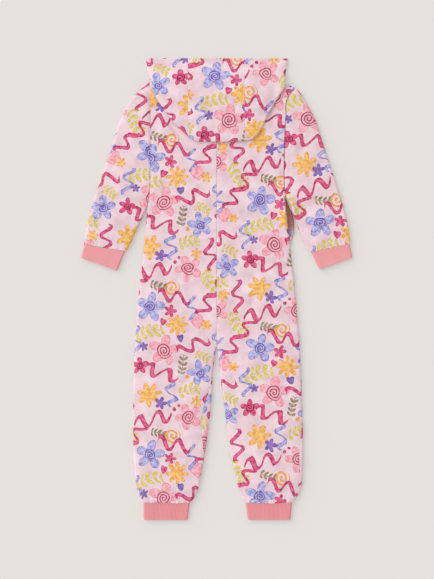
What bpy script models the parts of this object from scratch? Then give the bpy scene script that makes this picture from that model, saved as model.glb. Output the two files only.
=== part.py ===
"""Child's hooded fleece onesie, laid face down and flat, its hood turned down on its back.

Metres, +Z up, +Y from the feet to the hood, -X is the wearer's left. The front lies on z = 0 and the
back on the front. Each piece that is cut and sewn is one closed solid: a cloth wall between a grid of
outside points and the same grid moved inward by the cloth's thickness. Tables are in millimetres.
"""

import math
from typing import NamedTuple

import bpy
import numpy as np

MM = 0.001

# Cloth, seams and rolled edges
FLEECE = 3.0            # thickness of the fleece
RIB = 2.5               # thickness of the rib cuffs
SEAM = 0.3              # space between two pieces at a seam
EDGE_RADIUS = 4.9       # outside radius where the flattened cloth turns over at an edge
CUFF_RADIUS = 4.5
QUARTER = EDGE_RADIUS * math.pi / 2
EDGE_REACH = 9.0        # how far in from an edge the closely spaced columns run
EDGE_STEPS = 3
WRAP_STEPS = 7
BACK_COLUMNS = 10
FRONT_SPREAD = (0.093, 0.198, 0.289, 0.364, 0.44, 0.55, 0.75)   # columns across a front, closer at the neck

# Neck and shoulders
NECK_HALF_WIDTH = 72.0
NECK_SIDE_Y = 488.0
BACK_NECK_Y = 455.0
FRONT_NECK_Y = 430.0
ARMHOLE_FADE_Y = 360.0  # below this the rows of a panel run level
CROTCH_Y = -131.0
ANKLE_Y = -490.0
HEM_Y = -530.0
TURN_LENGTH = 6.0       # a seam goes over from flat to rolled within this length
NECK_TURN = (66.0, 80.0)    # from the centre: the flat neckline's end, the rolled shoulder's start
UNDERARM_ROW = 8.0      # from the underarm up to the next row of a panel
ROW_SPACE = 5.0
UNDERARM_SPACE = 12.0

# Creases and the sleeves' ends
CREASE_BOW = 0.10       # sideways bow of a crease, as a share of its length
CREASE_START = (-0.15, 0.25)
CREASE_END = (0.75, 1.15)
ARMHOLE_SHARE = 0.07    # share of a sleeve over which its edges square up to the armhole
ARMHOLE_FOLLOW = 0.3    # share over which the armhole's line fades out of its rings
ARMHOLE_FLAT = 0.08     # share that stays free of creases
WRIST_SHARE = 0.9

# Ankle puckers: cuff seam easing that pushes the leg's back into low ridges
PUCKER_HEIGHT = 0.5
PUCKER_REACH = 22.0

# Zip
ZIP_TOP_Y = 428.0
ZIP_END_Y = -66.0
ZIP_HALF_GAP = 6.0      # from the centre to each folded edge beside the coil
ZIP_RISE = 1.9          # how far those edges stand up from the floor
ZIP_RISE_NEAR = 16.0
ZIP_RISE_FAR = 30.0
ZIP_OPENS = (-10.0, 2.0)    # from the zip's end: where the front edges part, where they stand apart
ZIP_RISES = (-40.0, -10.0)
TAPE_HALF_WIDTH = 14.0
TAPE_BOTTOM = 5.2
TAPE_TOP = 6.2
COIL_HALF_WIDTH = 2.5
COIL_BOTTOM = 4.0
COIL_SHOULDER = 0.7
SLIDER_Y = 412.0
SLIDER_LENGTH = 11.0
SLIDER_HALF_WIDTH = 4.3
SLIDER_BOTTOM = 2.9
SLIDER_PLATE = 0.8
CHEEK_WIDTH = 0.9
CHEEK_TOP = 4.9
PIVOT_Z = 1.5
PIN_RADIUS = 0.4
EAR_RADIUS = 1.0
EAR_INNER = 1.6
EAR_OUTER = 2.4
EAR_ROOT = 0.3          # how far the ears run into the plate
EYE_RADIUS = 1.1
EYE_BORE = 0.65
EYE_HALF_WIDTH = 1.3
PULL_HALF_WIDTH = 2.5
PULL_THICKNESS = 1.0
PULL_START = 2.4
PULL_LENGTH = 25.0
PULL_OVERLAP = 1.0      # of the eye's stem on the tab
STEM_INSET = 0.05

# Hood
HOOD_LOW = 10.1         # underside of the layer that lies on the back
HOOD_FOLD_RADIUS = 3.6
HOOD_TOP = HOOD_LOW + 2 * HOOD_FOLD_RADIUS
HOOD_RIM_TOP = 6.6      # the top layer's upper face where it has come down beyond the shoulders
HOOD_DROP_START = -4.0
HOOD_DROP_END = 32.0
HOOD_ROWS = 11
HOOD_FOLD_STEPS = 5
HOOD_LOW_ROWS = 6
HOOD_CENTRE_COLUMNS = 6
HOOD_SHOULDER_SPACE = 3.1
HOOD_EDGE_TURN_LOW = 484.0
HOOD_EDGE_TURN_HIGH = 497.0
HOOD_NAPE_INSET = 4.0
HOOD_INSIDE_Y = 520.0   # a point well inside the turned-down hood, for the fold's outward directions
HOOD_INSIDE_X = 40.0
SEAM_SQUARING = 0.7     # share of a side fold after which its direction squares up to the centre strip
WING_RAMP_TOP = (-2.74, 10.1)   # from the shoulder seam: y and z of the climb's upper end
WING_RAMP_FOOT = 9.0
WING_FOOT_INSET = 1.6
WING_CLIMB_START = 84.0
WING_NECK_END = 67.0
WING_FIRST_ROW = 0.25
WING_DRIFT = 0.1        # how far the second row already follows the hem


class Edge(NamedTuple):
    """Outer edges of the body and legs at one level."""
    y: float
    left: float
    right: float


class Point(NamedTuple):
    x: float
    y: float


class Wrap(NamedTuple):
    """How far a side seam or inseam is rolled round from the middle of its edge on to the back."""
    y: float
    length: float


class Crease(NamedTuple):
    """A soft trough from one place to another."""
    x0: float
    y0: float
    x1: float
    y1: float
    width: float
    depth: float


class Cuff(NamedTuple):
    """The four corners of a flattened cuff."""
    outer: Point
    inner: Point
    hem_outer: Point
    hem_inner: Point


class HoodLine(NamedTuple):
    """The corner of the rim and the turned edge of one side of the hood."""
    rim_x: float
    rim_y: float
    seam_x: float
    edge: tuple


BODY_EDGES = (
    Edge(476, -154.0, 176.0),
    Edge(466, -153.8, 176.0),
    Edge(461, -153.5, 175.4),
    Edge(455, -153.2, 171.8),
    Edge(440, -152.8, 162.0),
    Edge(428, -152.5, 158.6),
    Edge(400, -152.0, 158.0),
    Edge(350, -152.0, 155.5),
    Edge(300, -152.0, 154.0),
    Edge(250, -152.6, 154.0),
    Edge(216, -154.0, 156.0),
    Edge(189, -159.0, 159.0),
    Edge(161, -161.6, 161.8),
    Edge(115, -166.0, 167.5),
    Edge(69, -170.3, 172.0),
    Edge(23, -175.4, 178.0),
    Edge(-23, -180.2, 182.5),
    Edge(-69, -183.4, 185.8),
    Edge(-115, -187.0, 190.2),
    Edge(-160, -189.8, 192.8),
    Edge(-215, -191.5, 194.8),
    Edge(-276, -192.0, 196.5),
    Edge(-322, -191.9, 198.2),
    Edge(-375, -191.0, 198.6),
    Edge(-410, -189.2, 198.4),
    Edge(-445, -185.5, 195.6),
    Edge(-470, -179.3, 188.8),
    Edge(-490, -170.0, 175.8),
)

INSEAM_EDGES = (
    Edge(-131, -0.15, 0.15),
    Edge(-137, -1.2, 1.2),
    Edge(-160, -4.8, 4.8),
    Edge(-207, -9.6, 9.4),
    Edge(-253, -11.5, 15.3),
    Edge(-299, -16.0, 21.5),
    Edge(-345, -22.0, 27.4),
    Edge(-391, -28.8, 34.0),
    Edge(-437, -37.4, 45.0),
    Edge(-460, -42.5, 51.0),
    Edge(-478, -50.0, 57.5),
    Edge(-490, -60.0, 65.0),
)

LEVELS = (455, 430, 395, 350, 300, 250, 150, 100, 50, 0, -60, -76, -105, -131, -137, -165, -210, -253,
          -275, -299, -325, -345, -362, -380, -400, -437, -460, -478, -490)

SHOULDER_TIP = {"left": Point(-154.0, 476.0), "right": Point(176.0, 466.0)}
UNDERARM_Y = {"left": 189.0, "right": 214.0}

INSEAM_WRAP_LEFT = (
    Wrap(-131, 0.0),
    Wrap(-190, 0.5),
    Wrap(-225, 8.0),
    Wrap(-253, 15.0),
    Wrap(-285, 20.5),
    Wrap(-305, 22.0),
    Wrap(-330, 18.0),
    Wrap(-365, 8.0),
    Wrap(-400, 1.0),
    Wrap(-430, 0.0),
    Wrap(-490, 0.0),
)
SIDE_WRAP_RIGHT = (
    Wrap(214, 0.0),
    Wrap(-240, 0.0),
    Wrap(-320, 6.0),
    Wrap(-350, 9.6),
    Wrap(-450, 9.8),
    Wrap(-490, 7.0),
)

SLEEVE_OUTER = {
    "left": (
        Point(-154.0, 476.0), Point(-173.5, 460.5), Point(-195.5, 437.0), Point(-212.5, 410.0),
        Point(-228.0, 372.0), Point(-240.5, 330.0), Point(-252.5, 295.0), Point(-265.5, 255.0),
        Point(-280.5, 212.0), Point(-292.0, 173.0), Point(-300.5, 135.0), Point(-305.5, 103.0),
    ),
    "right": (
        Point(176.0, 466.0), Point(190.0, 453.5), Point(202.0, 436.0), Point(215.0, 413.0),
        Point(226.5, 390.0), Point(241.5, 345.0), Point(256.5, 298.0), Point(272.0, 252.0),
        Point(286.5, 206.0), Point(299.5, 160.0), Point(305.5, 125.0), Point(307.2, 105.0),
    ),
}
SLEEVE_INNER = {
    "left": (Point(-159.3, 189.0), Point(-172.3, 160.0), Point(-185.0, 133.5), Point(-196.0, 108.0),
             Point(-203.0, 93.5), Point(-208.5, 87.5)),
    "right": (Point(156.4, 214.0), Point(163.5, 203.0), Point(171.5, 183.0), Point(179.5, 160.0),
              Point(188.5, 137.0), Point(197.0, 114.0), Point(206.5, 93.0), Point(215.5, 84.5)),
}
SLEEVE_STATIONS = (0.0, 0.03, 0.08, 0.16, 0.26, 0.37, 0.48, 0.59, 0.70, 0.81, 0.91, 0.97, 1.0)
CUFF_COLUMNS = 6
TUBE_EDGE_STEPS = 5

CUFFS = {
    "cuff_sleeve_left": Cuff(Point(-304.4, 101.8), Point(-210.5, 87.4),
                             Point(-312.3, 72.5), Point(-228.7, 42.6)),
    "cuff_sleeve_right": Cuff(Point(305.9, 103.8), Point(217.6, 84.6),
                              Point(312.3, 73.8), Point(236.1, 45.5)),
    "cuff_leg_left": Cuff(Point(-168.0, -490.3), Point(-61.5, -490.3),
                          Point(-167.8, HEM_Y), Point(-67.0, HEM_Y)),
    "cuff_leg_right": Cuff(Point(173.4, -490.3), Point(67.0, -490.3),
                           Point(169.6, HEM_Y), Point(71.8, HEM_Y)),
}

CREASES = (
    Crease(-128, 62, -34, -84, 15, 1.5),
    Crease(132, 70, 30, -62, 15, 1.4),
    Crease(-150, 196, -92, 150, 14, 1.5),
    Crease(150, 214, 98, 172, 14, 1.5),
    Crease(-150, -120, -92, -205, 17, 1.3),
    Crease(160, -135, 96, -224, 17, 1.3),
    Crease(-158, -330, -70, -352, 15, 1.4),
    Crease(72, -318, 170, -350, 15, 1.4),
    Crease(-226, 356, -176, 318, 15, 1.6),
    Crease(226, 348, 184, 300, 15, 1.6),
    Crease(-268, 205, -212, 178, 14, 1.5),
    Crease(264, 214, 214, 190, 14, 1.5),
    Crease(-118, 456, -142, 372, 13, 1.2),
    Crease(122, 448, 142, 360, 13, 1.2),
)
CREASE_MARGIN = 16.0

HOOD_LINES = {
    "left": HoodLine(-164.8, 530.0, -65.9, (
        Point(-150.0, 464.5), Point(-144.1, 448.7), Point(-133.0, 430.0), Point(-122.7, 414.2),
        Point(-99.7, 383.6), Point(-76.7, 360.6), Point(-65.9, 350.6))),
    "right": HoodLine(162.8, 529.0, 64.1, (
        Point(153.0, 464.5), Point(138.1, 437.2), Point(126.0, 415.0), Point(115.1, 395.1),
        Point(106.5, 375.0), Point(94.5, 354.5), Point(80.5, 342.8), Point(64.1, 339.4))),
}
HOOD_CROWN = (Point(-65.9, 350.6), Point(-57.4, 343.4), Point(-44.0, 338.8), Point(-30.7, 337.6),
              Point(38.3, 337.6), Point(64.1, 339.4))
HOOD_SIDE_FRACTIONS = (0.0, 0.02, 0.04, 0.06, 0.13, 0.26, 0.40, 0.55, 0.70, 0.85, 1.0)
HOOD_EDGE_COLUMNS = 4
WING_HEM = {
    "left": (Point(-7.0, 437.0), Point(-15.0, 470.0), Point(-40.0, 500.0), Point(-82.0, 518.0),
             Point(-125.0, 526.0), Point(-164.8, 530.0)),
    "right": (Point(7.0, 437.0), Point(15.0, 470.0), Point(40.0, 500.0), Point(82.0, 517.0),
              Point(125.0, 525.0), Point(162.8, 529.0)),
}
WING_FOOT_X = {"left": 159.0, "right": 157.0}
WING_SHOULDER_X = (76.0, 80.0, 84.1, 100.0, 120.0, 140.0, 144.0, 150.0)
WING_CLIMB_END = 142.0
WING_ROWS = (0.0, 0.3, 0.65, 1.0)


def smoothstep(low, high, value):
    """Ease from 0 at low to 1 at high."""
    t = np.clip((np.asarray(value, float) - low) / (high - low), 0.0, 1.0)
    return t * t * (3.0 - 2.0 * t)


def curve_through(known, values, wanted):
    """Cubic through the rows of a table, with each row's slope taken from its neighbours."""
    known = np.asarray(known, float)
    values = np.asarray(values, float)
    if known[0] > known[-1]:
        known, values = known[::-1], values[::-1]
    slopes = np.gradient(values, known)
    wanted = np.clip(np.asarray(wanted, float), known[0], known[-1])
    low = np.clip(np.searchsorted(known, wanted, side="right") - 1, 0, len(known) - 2)
    span = known[low + 1] - known[low]
    t = (wanted - known[low]) / span
    rise = values[low + 1] - values[low]
    start = slopes[low] * span
    end = slopes[low + 1] * span
    return values[low] + t * (start + t * (3 * rise - 2 * start - end + t * (start + end - 2 * rise)))


def table_curve(table, field, y):
    return curve_through([row.y for row in table], [getattr(row, field) for row in table], y)


def along(points, fractions):
    """Points of the smooth plan line through a table, at fractions of its length."""
    corners = np.array(points, float)
    length = np.concatenate(([0.0], np.cumsum(np.linalg.norm(np.diff(corners, axis=0), axis=1))))
    wanted = np.asarray(fractions, float) * length[-1]
    return np.stack([curve_through(length, corners[:, axis], wanted) for axis in (0, 1)], axis=-1)


def side_normals(line, inside):
    """Unit plan normals of a line of points, each pointing away from its partner inside."""
    tangent = np.gradient(line, axis=0)
    normal = np.stack([tangent[:, 1], -tangent[:, 0]], axis=-1)
    normal /= np.linalg.norm(normal, axis=-1, keepdims=True)
    flip = np.sign(np.sum(normal * (line - inside), axis=-1, keepdims=True))
    return normal * np.where(flip == 0, 1, flip)


def roll(length, curl, radius=EDGE_RADIUS):
    """Path of cloth over an edge: distance out, distance down and angle turned.

    length runs from where the edge begins to turn. A curl of 1 is a full turn of the given radius, 0
    leaves the cloth flat. Past half a turn the cloth runs straight back.
    """
    bend = radius / np.maximum(curl, 1e-3)
    angle = np.clip(length / bend, 0.0, math.pi)
    past = np.maximum(length - math.pi * bend, 0.0)
    before = np.minimum(length, 0.0)
    return bend * np.sin(angle) - past + before, bend * (1.0 - np.cos(angle)), angle


def roll_reach(curl):
    return roll(QUARTER, curl)[0]


def crease_depth(x, y):
    """Depth of the soft troughs at plan points."""
    total = np.zeros(np.broadcast(x, y).shape)
    for crease in CREASES:
        run = np.array([crease.x1 - crease.x0, crease.y1 - crease.y0])
        length = np.linalg.norm(run)
        run = run / length
        s = ((x - crease.x0) * run[0] + (y - crease.y0) * run[1]) / length
        across = (x - crease.x0) * run[1] - (y - crease.y0) * run[0]
        bow = CREASE_BOW * length * np.sin(np.clip(s, 0, 1) * math.pi)
        ends = smoothstep(*CREASE_START, s) * (1.0 - smoothstep(*CREASE_END, s))
        total = np.maximum(total, crease.depth * ends * np.exp(-((across - bow) / crease.width) ** 2))
    return total


def add_mesh(name, points, faces, finish):
    """Make a mesh object from points in millimetres, faces turned outward, with its own finish."""
    corners = points[np.array([face[:3] for face in faces])]
    volume = np.sum(corners[:, 0] * np.cross(corners[:, 1], corners[:, 2]))
    if volume < 0:
        faces = [(face[0], *face[:0:-1]) for face in faces]
    mesh = bpy.data.meshes.new(name)
    mesh.from_pydata((points * MM).tolist(), [], faces)
    mesh.polygons.foreach_set("use_smooth", [True] * len(mesh.polygons))
    mesh.materials.append(finish)
    built = bpy.data.objects.new(name, mesh)
    bpy.context.collection.objects.link(built)
    return built


def strip_faces(first, second):
    """Quads between two equal rows of point numbers."""
    return [tuple(quad) for quad in np.stack([first[:-1], second[:-1], second[1:], first[1:]], -1).tolist()]


def wall_solid(name, outer, normals, thickness, finish, closed=False):
    """Closed cloth wall from a grid of outside points and their outward normals.

    A closed grid's columns run round a tube, whose two ends are open.
    """
    rows, columns = outer.shape[:2]
    points = np.concatenate([outer.reshape(-1, 3), (outer - thickness * normals).reshape(-1, 3)])
    outside = np.arange(rows * columns).reshape(rows, columns)
    inside = outside + rows * columns
    if closed:
        outside = np.concatenate([outside, outside[:, :1]], axis=1)
        inside = np.concatenate([inside, inside[:, :1]], axis=1)
    faces = []
    for row in range(rows - 1):
        faces += strip_faces(outside[row], outside[row + 1])
        faces += strip_faces(inside[row + 1], inside[row])
    faces += strip_faces(inside[0], outside[0])
    faces += strip_faces(outside[-1], inside[-1])
    if not closed:
        faces += strip_faces(outside[:, 0], inside[:, 0])
        faces += strip_faces(inside[:, -1], outside[:, -1])
    return add_mesh(name, points, faces, finish)


def grid_normals(grid):
    """Unit normals of an open grid from the directions of its rows and columns, upward ones."""
    normal = np.cross(np.gradient(grid, axis=1), np.gradient(grid, axis=0))
    normal /= np.linalg.norm(normal, axis=-1, keepdims=True)
    return normal * np.sign(normal[..., 2:])


def finish_of(name, colour, roughness, metallic=0.0):
    """Principled finish of one piece."""
    made = bpy.data.materials.new(name)
    made.use_nodes = True
    shader = made.node_tree.nodes["Principled BSDF"]
    shader.inputs["Base Color"].default_value = (*colour, 1.0)
    shader.inputs["Roughness"].default_value = roughness
    shader.inputs["Metallic"].default_value = metallic
    made.diffuse_color = (*colour, 1.0)
    return made


def fleece_finish(name):
    return finish_of(name, (0.87, 0.70, 0.73), 0.95)


def rib_finish(name):
    return finish_of(name, (0.80, 0.30, 0.33), 0.9)


def top_line(x, side, face):
    """Neckline and shoulder seam of a body panel, as y over x."""
    neck_y = BACK_NECK_Y if face == "back" else FRONT_NECK_Y
    tip = SHOULDER_TIP[side]
    reach = np.abs(x)
    neck = neck_y + (NECK_SIDE_Y - neck_y) * np.clip(reach / NECK_HALF_WIDTH, 0, 1) ** 2
    slope = (tip.y - NECK_SIDE_Y) / (abs(tip.x) - NECK_HALF_WIDTH)
    return np.where(reach < NECK_HALF_WIDTH, neck, NECK_SIDE_Y + slope * (reach - NECK_HALF_WIDTH))


def zip_edge(y):
    """Distance of a front panel's inner edge from the centre."""
    open_part = smoothstep(ZIP_END_Y + ZIP_OPENS[0], ZIP_END_Y + ZIP_OPENS[1], y)
    return SEAM / 2 + (ZIP_HALF_GAP - SEAM / 2) * open_part


def panel_levels(side):
    """Levels of a body panel's rows, from its flat top to the ankle."""
    tip_y = SHOULDER_TIP[side].y
    under = UNDERARM_Y[side]
    flat_top = tip_y - EDGE_RADIUS
    extra = (flat_top, under + UNDERARM_ROW, under, under - TURN_LENGTH)
    clear = [y for y in LEVELS if y < flat_top - ROW_SPACE and abs(y - under) > UNDERARM_SPACE]
    return np.array(sorted(set(extra) | set(clear), reverse=True), float)


def body_panel(side, face):
    """One back or front panel, neck to ankle, with its edges rolled where they meet a side seam."""
    levels = panel_levels(side)
    sign = -1.0 if side == "left" else 1.0
    out_x = table_curve(BODY_EDGES, side, levels)
    in_x = np.where(levels >= CROTCH_Y, sign * SEAM / 2, table_curve(INSEAM_EDGES, side, levels))
    if face == "front":
        in_x = np.where(levels >= CROTCH_Y, sign * zip_edge(levels), in_x)
    outer_rail = np.stack([out_x, levels], axis=-1)
    inner_rail = np.stack([in_x, levels], axis=-1)
    out_curl = smoothstep(UNDERARM_Y[side], UNDERARM_Y[side] - TURN_LENGTH, levels)
    in_curl = smoothstep(CROTCH_Y, CROTCH_Y - TURN_LENGTH, levels)
    out_wrap = wrap_lengths(SIDE_WRAP_RIGHT, levels) if side == "right" else np.zeros(len(levels))
    in_wrap = wrap_lengths(INSEAM_WRAP_LEFT, levels) if side == "left" else np.zeros(len(levels))
    out_steps = WRAP_STEPS if face == "front" and side == "right" else EDGE_STEPS
    in_steps = WRAP_STEPS if face == "front" and side == "left" else EDGE_STEPS

    inner = edge_columns(inner_rail, outer_rail, in_curl, in_wrap, in_steps, face)
    outer = edge_columns(outer_rail, inner_rail, out_curl, out_wrap, out_steps, face)
    inner = [part[:, ::-1] for part in inner]
    spread = np.arange(1, BACK_COLUMNS) / BACK_COLUMNS if face == "back" else np.array(FRONT_SPREAD)
    spread = spread[None, :, None]
    middle = inner[0][:, -1:] * (1.0 - spread) + outer[0][:, :1] * spread
    flat_normal = np.broadcast_to([0.0, 0.0, 1.0], middle.shape)
    points = np.concatenate([inner[0], middle, outer[0]], axis=1)
    normals = np.concatenate([inner[1], flat_normal, outer[1]], axis=1)

    points, normals = shoulder_rows(points, normals, levels, side, face)
    points[..., 2] = 2 * EDGE_RADIUS - points[..., 2]
    if face == "back":
        window = edge_window(points, sign)
        points[..., 2] -= crease_depth(points[..., 0], points[..., 1]) * window
        ridges = np.cos(math.pi * np.arange(points.shape[1]))[None, :]
        near_cuff = smoothstep(ANKLE_Y + PUCKER_REACH, ANKLE_Y, points[..., 1])
        points[..., 2] += PUCKER_HEIGHT * ridges * near_cuff * window
    else:
        points[..., 2] = 2 * EDGE_RADIUS - points[..., 2]
        normals[..., 2] *= -1.0
        near_zip = 1.0 - smoothstep(ZIP_RISE_NEAR, ZIP_RISE_FAR, np.abs(points[..., 0]))
        along_zip = smoothstep(ZIP_END_Y + ZIP_RISES[0], ZIP_END_Y + ZIP_RISES[1], points[..., 1])
        points[..., 2] += ZIP_RISE * near_zip * along_zip
    name = f"{face}_{side}"
    return wall_solid(name, points, normals, FLEECE, fleece_finish(name))


def wrap_lengths(table, levels):
    return curve_through([row.y for row in table], [row.length for row in table], levels)


def edge_columns(rail, partner, curl, wrap, steps, face):
    """Points and normals of the columns from inside an edge out to its seam, as if the edge rolls down."""
    level = np.stack([np.sign(rail[:, 0] - partner[:, 0]), np.zeros(len(rail))], axis=-1)
    slant = (curl * smoothstep(ANKLE_Y, ANKLE_Y + PUCKER_REACH, rail[:, 1]))[:, None]
    normal = side_normals(rail, partner) * slant + level * (1.0 - slant)
    normal /= np.linalg.norm(normal, axis=-1, keepdims=True)
    if face == "front":
        start = np.zeros(len(rail))
        end = QUARTER + np.maximum(wrap, 0.0) * curl
    else:
        end = QUARTER - np.maximum(wrap, 0.0) * curl - SEAM * curl
        start = end - EDGE_REACH
    t = np.linspace(0.0, 1.0, steps + 1)[None, :]
    length = start[:, None] * (1.0 - t) + end[:, None] * t
    out, down, angle = roll(length, curl[:, None])
    begin = rail - normal * roll_reach(curl)[:, None]
    plan = begin[:, None, :] + normal[:, None, :] * out[..., None]
    points = np.concatenate([plan, down[..., None]], axis=-1)
    turned = np.concatenate([normal[:, None, :] * np.sin(angle)[..., None], np.cos(angle)[..., None]], -1)
    return points, turned


def shoulder_rows(points, normals, levels, side, face):
    """Bend the rows to the neckline and shoulder, and add the rows that roll over the shoulder seam."""
    x = points[..., 0]
    curl = smoothstep(*NECK_TURN, np.abs(x[0]))
    flat_line = top_line(x[0], side, face) - roll_reach(curl)
    fade = smoothstep(ARMHOLE_FADE_Y, levels[0], levels)[:, None]
    points[..., 1] += fade * (flat_line - levels[0])[None, :]
    rows, row_normals = [], []
    seam = SEAM * curl if face == "back" else 0.0
    for part in (1.0, 2.0 / 3.0, 1.0 / 3.0):
        out, down, angle = roll((QUARTER - seam) * part, curl)
        row = points[0].copy()
        row[:, 1] += out
        row[:, 2] += down
        rows.append(row)
        row_normals.append(np.stack([np.zeros(len(x[0])), np.sin(angle), np.cos(angle)], axis=-1))
    points = np.concatenate([np.array(rows), points])
    normals = np.concatenate([np.array(row_normals), normals])
    return points, normals


def edge_window(points, sign):
    """0 at the panel's edges and seams, 1 well inside them."""
    x = points[..., 0] * sign
    low = np.min(x, axis=1, keepdims=True)
    high = np.max(x, axis=1, keepdims=True)
    near = np.minimum(x - low, high - x)
    return smoothstep(EDGE_REACH - 1.0, EDGE_REACH + CREASE_MARGIN, near)


def tube_rings(inner, outer, inner_normals, outer_normals, radius, spread):
    """Rings of a flattened tube: over the top, round the outer edge, under, round the inner edge.

    spread holds the fractions of the flat stretch, from the inner edge, at which columns stand.
    """
    flat_in = inner - inner_normals * radius
    flat_out = outer - outer_normals * radius
    turn = np.linspace(0.0, math.pi, TUBE_EDGE_STEPS + 1)

    def straight(fractions, height, up):
        t = np.asarray(fractions)[None, :, None]
        plan = flat_in[:, None] * (1 - t) + flat_out[:, None] * t
        points = np.concatenate([plan, np.full((*plan.shape[:2], 1), height)], axis=-1)
        return points, np.broadcast_to([0.0, 0.0, up], points.shape)

    def around(flat, normal, angles):
        sine = np.sin(angles)[None, :, None]
        cosine = np.broadcast_to(np.cos(angles)[None, :, None], (len(flat), len(angles), 1))
        plan = flat[:, None] + normal[:, None] * radius * sine
        points = np.concatenate([plan, radius * (1.0 + cosine)], axis=-1)
        return points, np.concatenate([normal[:, None] * sine, cosine], axis=-1)

    parts = (
        straight(spread, 2 * radius, 1.0),
        around(flat_out, outer_normals, turn),
        straight(spread[::-1], 0.0, -1.0),
        around(flat_in, inner_normals, turn[::-1]),
    )
    return np.concatenate([p[0] for p in parts], axis=1), np.concatenate([p[1] for p in parts], axis=1)


def sleeve(side):
    """Set-in sleeve: a flattened tube from the armhole, whose line it follows, to the wrist."""
    stations = np.array(SLEEVE_STATIONS)
    outer = along(SLEEVE_OUTER[side], stations)
    inner = along(SLEEVE_INNER[side], stations)
    armhole = outer[0] - inner[0]
    armhole /= np.linalg.norm(armhole)
    wrist = outer[-1] - inner[-1]
    wrist /= np.linalg.norm(wrist)
    at_armhole = smoothstep(ARMHOLE_SHARE, 0.0, stations)[:, None]
    at_wrist = smoothstep(WRIST_SHARE, 1.0, stations)[:, None]
    slant = 1.0 - at_armhole - at_wrist
    ends = armhole * at_armhole + wrist * at_wrist
    outer_normals = side_normals(outer, inner) * slant + ends
    inner_normals = side_normals(inner, outer) * slant - ends
    outer_normals /= np.linalg.norm(outer_normals, axis=-1, keepdims=True)
    inner_normals /= np.linalg.norm(inner_normals, axis=-1, keepdims=True)
    levels = panel_levels(side)
    low = inner[0, 1] + EDGE_RADIUS
    high = outer[0, 1] - EDGE_RADIUS
    rows = levels[(levels > low + 1.0) & (levels < high - 1.0)][::-1]
    rings, normals = tube_rings(inner, outer, inner_normals, outer_normals, EDGE_RADIUS,
                                (rows - low) / (high - low))
    sign = -1.0 if side == "left" else 1.0
    follow = 1.0 - smoothstep(0.0, ARMHOLE_FOLLOW, stations)[:, None]
    body_x = table_curve(BODY_EDGES, side, levels)
    seam_x = np.interp(rings[:1, :, 1], levels[::-1], body_x[::-1]) + sign * SEAM
    rings[..., 0] += follow * (seam_x - rings[:1, :, 0])
    from_out = np.linalg.norm(rings[..., :2] - outer[:, None], axis=-1)
    from_in = np.linalg.norm(rings[..., :2] - inner[:, None], axis=-1)
    window = smoothstep(EDGE_RADIUS, EDGE_RADIUS + CREASE_MARGIN, np.minimum(from_out, from_in))
    window = window * smoothstep(0.0, ARMHOLE_FLAT, stations)[:, None]
    on_top = normals[..., 2] > 0.99
    rings[..., 2] -= crease_depth(rings[..., 0], rings[..., 1]) * window * on_top
    name = f"sleeve_{side}"
    return wall_solid(name, rings, normals, FLEECE, fleece_finish(name), closed=True)


def cuff(name):
    """Rib cuff: a short flattened tube, narrower at its hem."""
    form = CUFFS[name]
    t = np.linspace(0.0, 1.0, 3)[:, None]
    outer = np.array(form.outer) * (1 - t) + np.array(form.hem_outer) * t
    inner = np.array(form.inner) * (1 - t) + np.array(form.hem_inner) * t
    across = (outer - inner) / np.linalg.norm(outer - inner, axis=-1, keepdims=True)
    rings, normals = tube_rings(inner, outer, -across, across, CUFF_RADIUS,
                                np.arange(1, CUFF_COLUMNS) / CUFF_COLUMNS)
    return wall_solid(name, rings, normals, RIB, rib_finish(name), closed=True)


def shoulder_line(x, side):
    return top_line(np.where(np.abs(x) < NECK_HALF_WIDTH, np.sign(x) * NECK_HALF_WIDTH, x), side, "back")


def hood_height(x, y, side):
    """Upper face of the hood's top layer: level on the back, then down beyond the shoulders."""
    past = y - shoulder_line(x, side)
    drop = np.clip((past - HOOD_DROP_START) / (HOOD_DROP_END - HOOD_DROP_START), 0.0, 1.0)
    return HOOD_TOP + (HOOD_RIM_TOP - HOOD_TOP) * drop


def hood_end_line(x, side):
    """Where the hood's under layer ends: above the back neckline, or just short of the shoulder seam."""
    reach = np.abs(x)
    neck = top_line(x, side, "back")
    past_neck = shoulder_line(x, side) - HOOD_SHOULDER_SPACE
    return np.where(reach < NECK_HALF_WIDTH - HOOD_NAPE_INSET, neck, past_neck)


def hood_layers(rim, fold, fold_normals, end, side_at):
    """Rows of one hood piece: rim, top layer, fold, under layer, up to its end line."""
    flat = fold - fold_normals * HOOD_FOLD_RADIUS
    t = np.linspace(0.0, 1.0, HOOD_ROWS + 1)[:, None, None]
    top = rim[None] * (1 - t) + flat[None] * t
    height = np.stack([hood_height(row[:, 0], row[:, 1], side_at) for row in top])
    top = np.concatenate([top, height[..., None]], axis=-1)
    top_normals = np.broadcast_to([0.0, 0.0, 1.0], top.shape)
    angle = np.linspace(0.0, math.pi, HOOD_FOLD_STEPS + 1)[1:, None, None]
    turned = flat[None] + fold_normals[None] * HOOD_FOLD_RADIUS * np.sin(angle)
    cosine = np.broadcast_to(np.cos(angle), (*turned.shape[:2], 1))
    turned = np.concatenate([turned, HOOD_LOW + HOOD_FOLD_RADIUS * (1 + cosine)], axis=-1)
    turned_normals = np.concatenate([fold_normals[None] * np.sin(angle), cosine], axis=-1)
    t = (np.arange(1, HOOD_LOW_ROWS + 1) / HOOD_LOW_ROWS)[:, None, None]
    low = flat[None] * (1 - t) + end[None] * t
    low = np.concatenate([low, np.full((*low.shape[:2], 1), HOOD_LOW)], axis=-1)
    low_normals = np.broadcast_to([0.0, 0.0, -1.0], low.shape)
    return np.concatenate([top, turned, low]), np.concatenate([top_normals, turned_normals, low_normals])


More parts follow.
